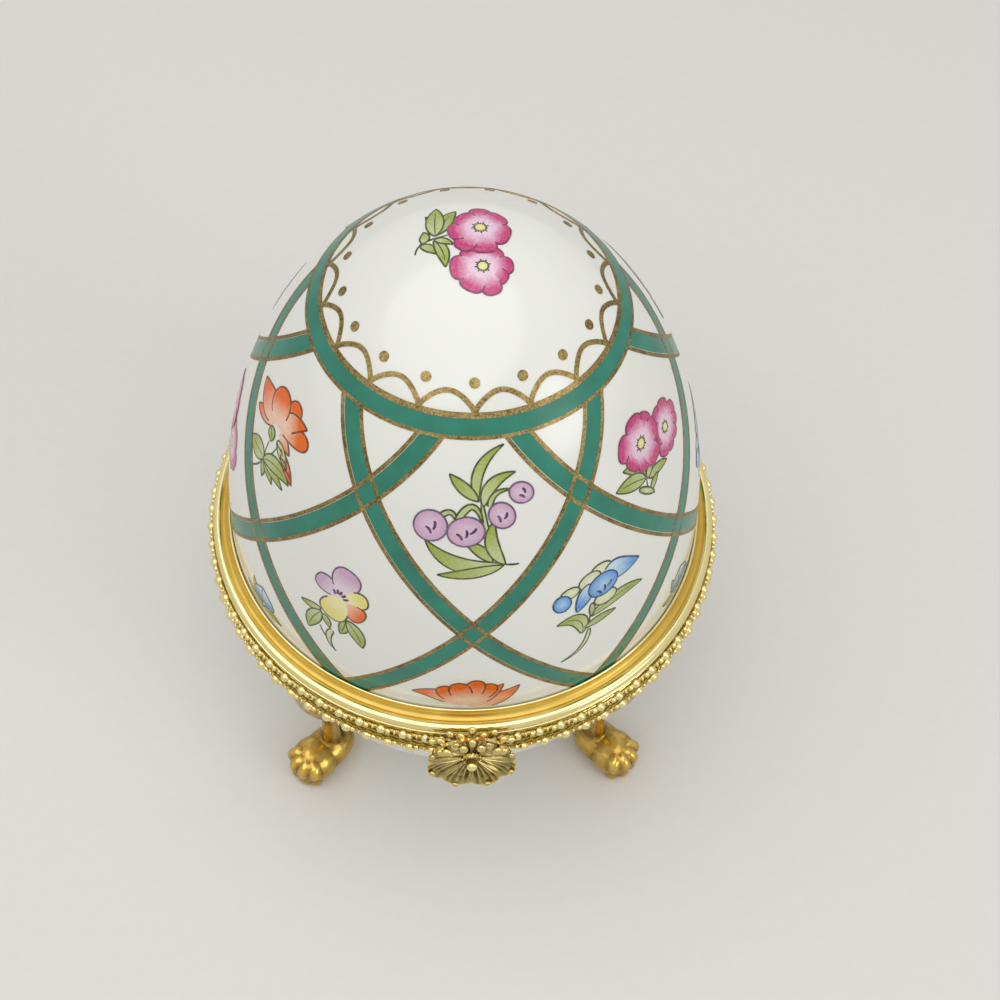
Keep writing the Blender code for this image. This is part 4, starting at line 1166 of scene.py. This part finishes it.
def dress():
    """Make every piece, hang it on its body and hide the CAD parts it replaces."""
    porcelain = glazed_porcelain()
    gold = burnished_gold()
    gilt = plated_gilt("polished_gilt_plating", "#f4e8b4", "#e2d18a", gloss=(0.12, 0.27), wave=0.3)
    # darker gilt for the core, seam beads and wires: partly toning, partly painted shade between the pearls
    toned_and_shaded = plated_gilt("toned_shaded_gilt_wire", "#c9b25e", "#a58c42", gloss=(0.2, 0.36), wave=0.2)
    # the satin band under the lip: its roughness is real, its deeper orange colour partly a painted
    # reflection of the warm porcelain and lily
    cove_tone_and_reflection = plated_gilt("satin_gilt_cove_painted_reflection", "#d4b662", "#c2a144", gloss=(0.34, 0.44), wave=0.1)

    pieces = (
        (shell("lid_porcelain", LID_RISE, LID_FULLNESS, PORCELAIN_SEAT - EQUATOR, 1, porcelain),
         "lid", "porcelain", ["lid_shell"]),
        (shell("bowl_porcelain", BOWL_RISE, BOWL_FULLNESS, PORCELAIN_SEAT + EQUATOR, -1, porcelain),
         "base", "porcelain", ["base_shell"]),
        (lattice_enamel(transfer_enamel()), "lid", None, []),
        (lattice_gilding(gold), "lid", None, []),
        (scallop_gilding(gold), "lid", None, []),
        (painted_sprigs(), "lid", None, []),
        (rim("lid_rim", 1, COLLAR_OUTER + RUN_GAP, [gilt, cove_tone_and_reflection]), "lid", "polished_gilt", ["lid_bezel"]),
        (rim("bowl_rim", -1, COLLAR_INNER, [gilt, cove_tone_and_reflection]), "base", "polished_gilt", ["base_bezel"]),
        (beading("lid_beading", 1, gilt, toned_and_shaded, ring=39.95, rise=1.8, pearl=0.74, drift=0.0),
         "lid", "polished_gilt", ["lid_beading_left", "lid_beading_right"]),
        (beading("bowl_beading", -1, gilt, toned_and_shaded, ring=40.0, rise=1.9, pearl=0.85, drift=0.31),
         "base", "polished_gilt", ["base_beading_left", "base_beading_right"]),
        # cast gilt: the dark colour is toning and painted shade in the hollows, the bright one rubbed metal
        # and painted highlight
        (clasp_flower(cast_gilt("cast_gilt_plating", "#4e3c0e", "#f4e096", gloss=(0.10, 0.36))),
         "lid", "cast_gilt", ["clasp_rosette"]),
        (paw_legs(cast_gilt("satin_gilt_casting", "#66460e", "#e4c066", gloss=(0.17, 0.34))),
         "base", "satin_gilt", ["leg_front_left", "leg_front_right", "leg_back_left", "leg_back_right"]),
    )
    for mesh, body, slot, replaced in pieces:
        piece = add_object(mesh.name, mesh)
        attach(piece, body)
        if replaced:
            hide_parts(*replaced)
    for node in ("base_hinge_leaf", "hinge_pin", "catch_stud", "lid_hinge_leaf", "clasp_tongue"):
        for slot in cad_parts[node].material_slots:
            slot.material = gilt


def studio():
    """Pale floor and soft lamps, both in metres, and the camera where the photograph was taken."""
    mesh = bpy.data.meshes.new("floor")
    reach = 4.0
    corners = [(-reach, -reach, 0), (reach, -reach, 0), (reach, reach, 0), (-reach, reach, 0)]
    mesh.from_pydata(corners, [], [(0, 1, 2, 3)])
    mesh.materials.append(paper_floor())
    add_object("floor", mesh)

    for name, place, size, power in (("overhead", (-0.12, -0.10, 0.75), 1.2, 4.1),
                                     ("side", (0.75, -0.55, 0.45), 0.5, 1.5)):
        lamp = bpy.data.lights.new(name, "AREA")
        lamp.shape = "DISK"
        lamp.size = size
        lamp.energy = power
        obj = add_object(name, lamp)
        obj.location = place
        obj.rotation_euler = (Vector(place) - Vector((0, 0, 0.05))).to_track_quat("Z", "Y").to_euler()

    world = bpy.data.worlds.new("soft_room")
    bpy.context.scene.world = world
    world.use_nodes = True
    tree = world.node_tree
    tree.nodes.clear()
    ray = add_node(tree, "ShaderNodeLightPath").outputs
    seen = maths(tree, "MAXIMUM", ray["Is Camera Ray"], ray["Is Glossy Ray"])
    clear = maths(tree, "MAXIMUM", seen, ray["Is Transmission Ray"])
    room = add_node(tree, "ShaderNodeBackground", {"Color": linear("#f2f1ee"), "Strength": 0.50})
    backdrop = add_node(tree, "ShaderNodeBackground", {"Color": linear("#e4e2de"), "Strength": 1.0})
    sky = add_node(tree, "ShaderNodeMixShader", {0: clear, 1: room.outputs[0], 2: backdrop.outputs[0]})
    add_node(tree, "ShaderNodeOutputWorld", {"Surface": sky.outputs[0]})

    data = bpy.data.cameras.new("camera")
    data.sensor_width = 36.0
    data.lens = 54.0
    data.clip_start = 0.005
    camera = add_object("camera", data)
    camera.location = Vector((-6.746, -129.999, 244.27)) * MM
    camera.rotation_euler = (radians(33.1749), radians(-2.0609), radians(-2.3057))
    bpy.context.scene.camera = camera
    bpy.context.scene.view_settings.view_transform = "Standard"


dress()
studio()
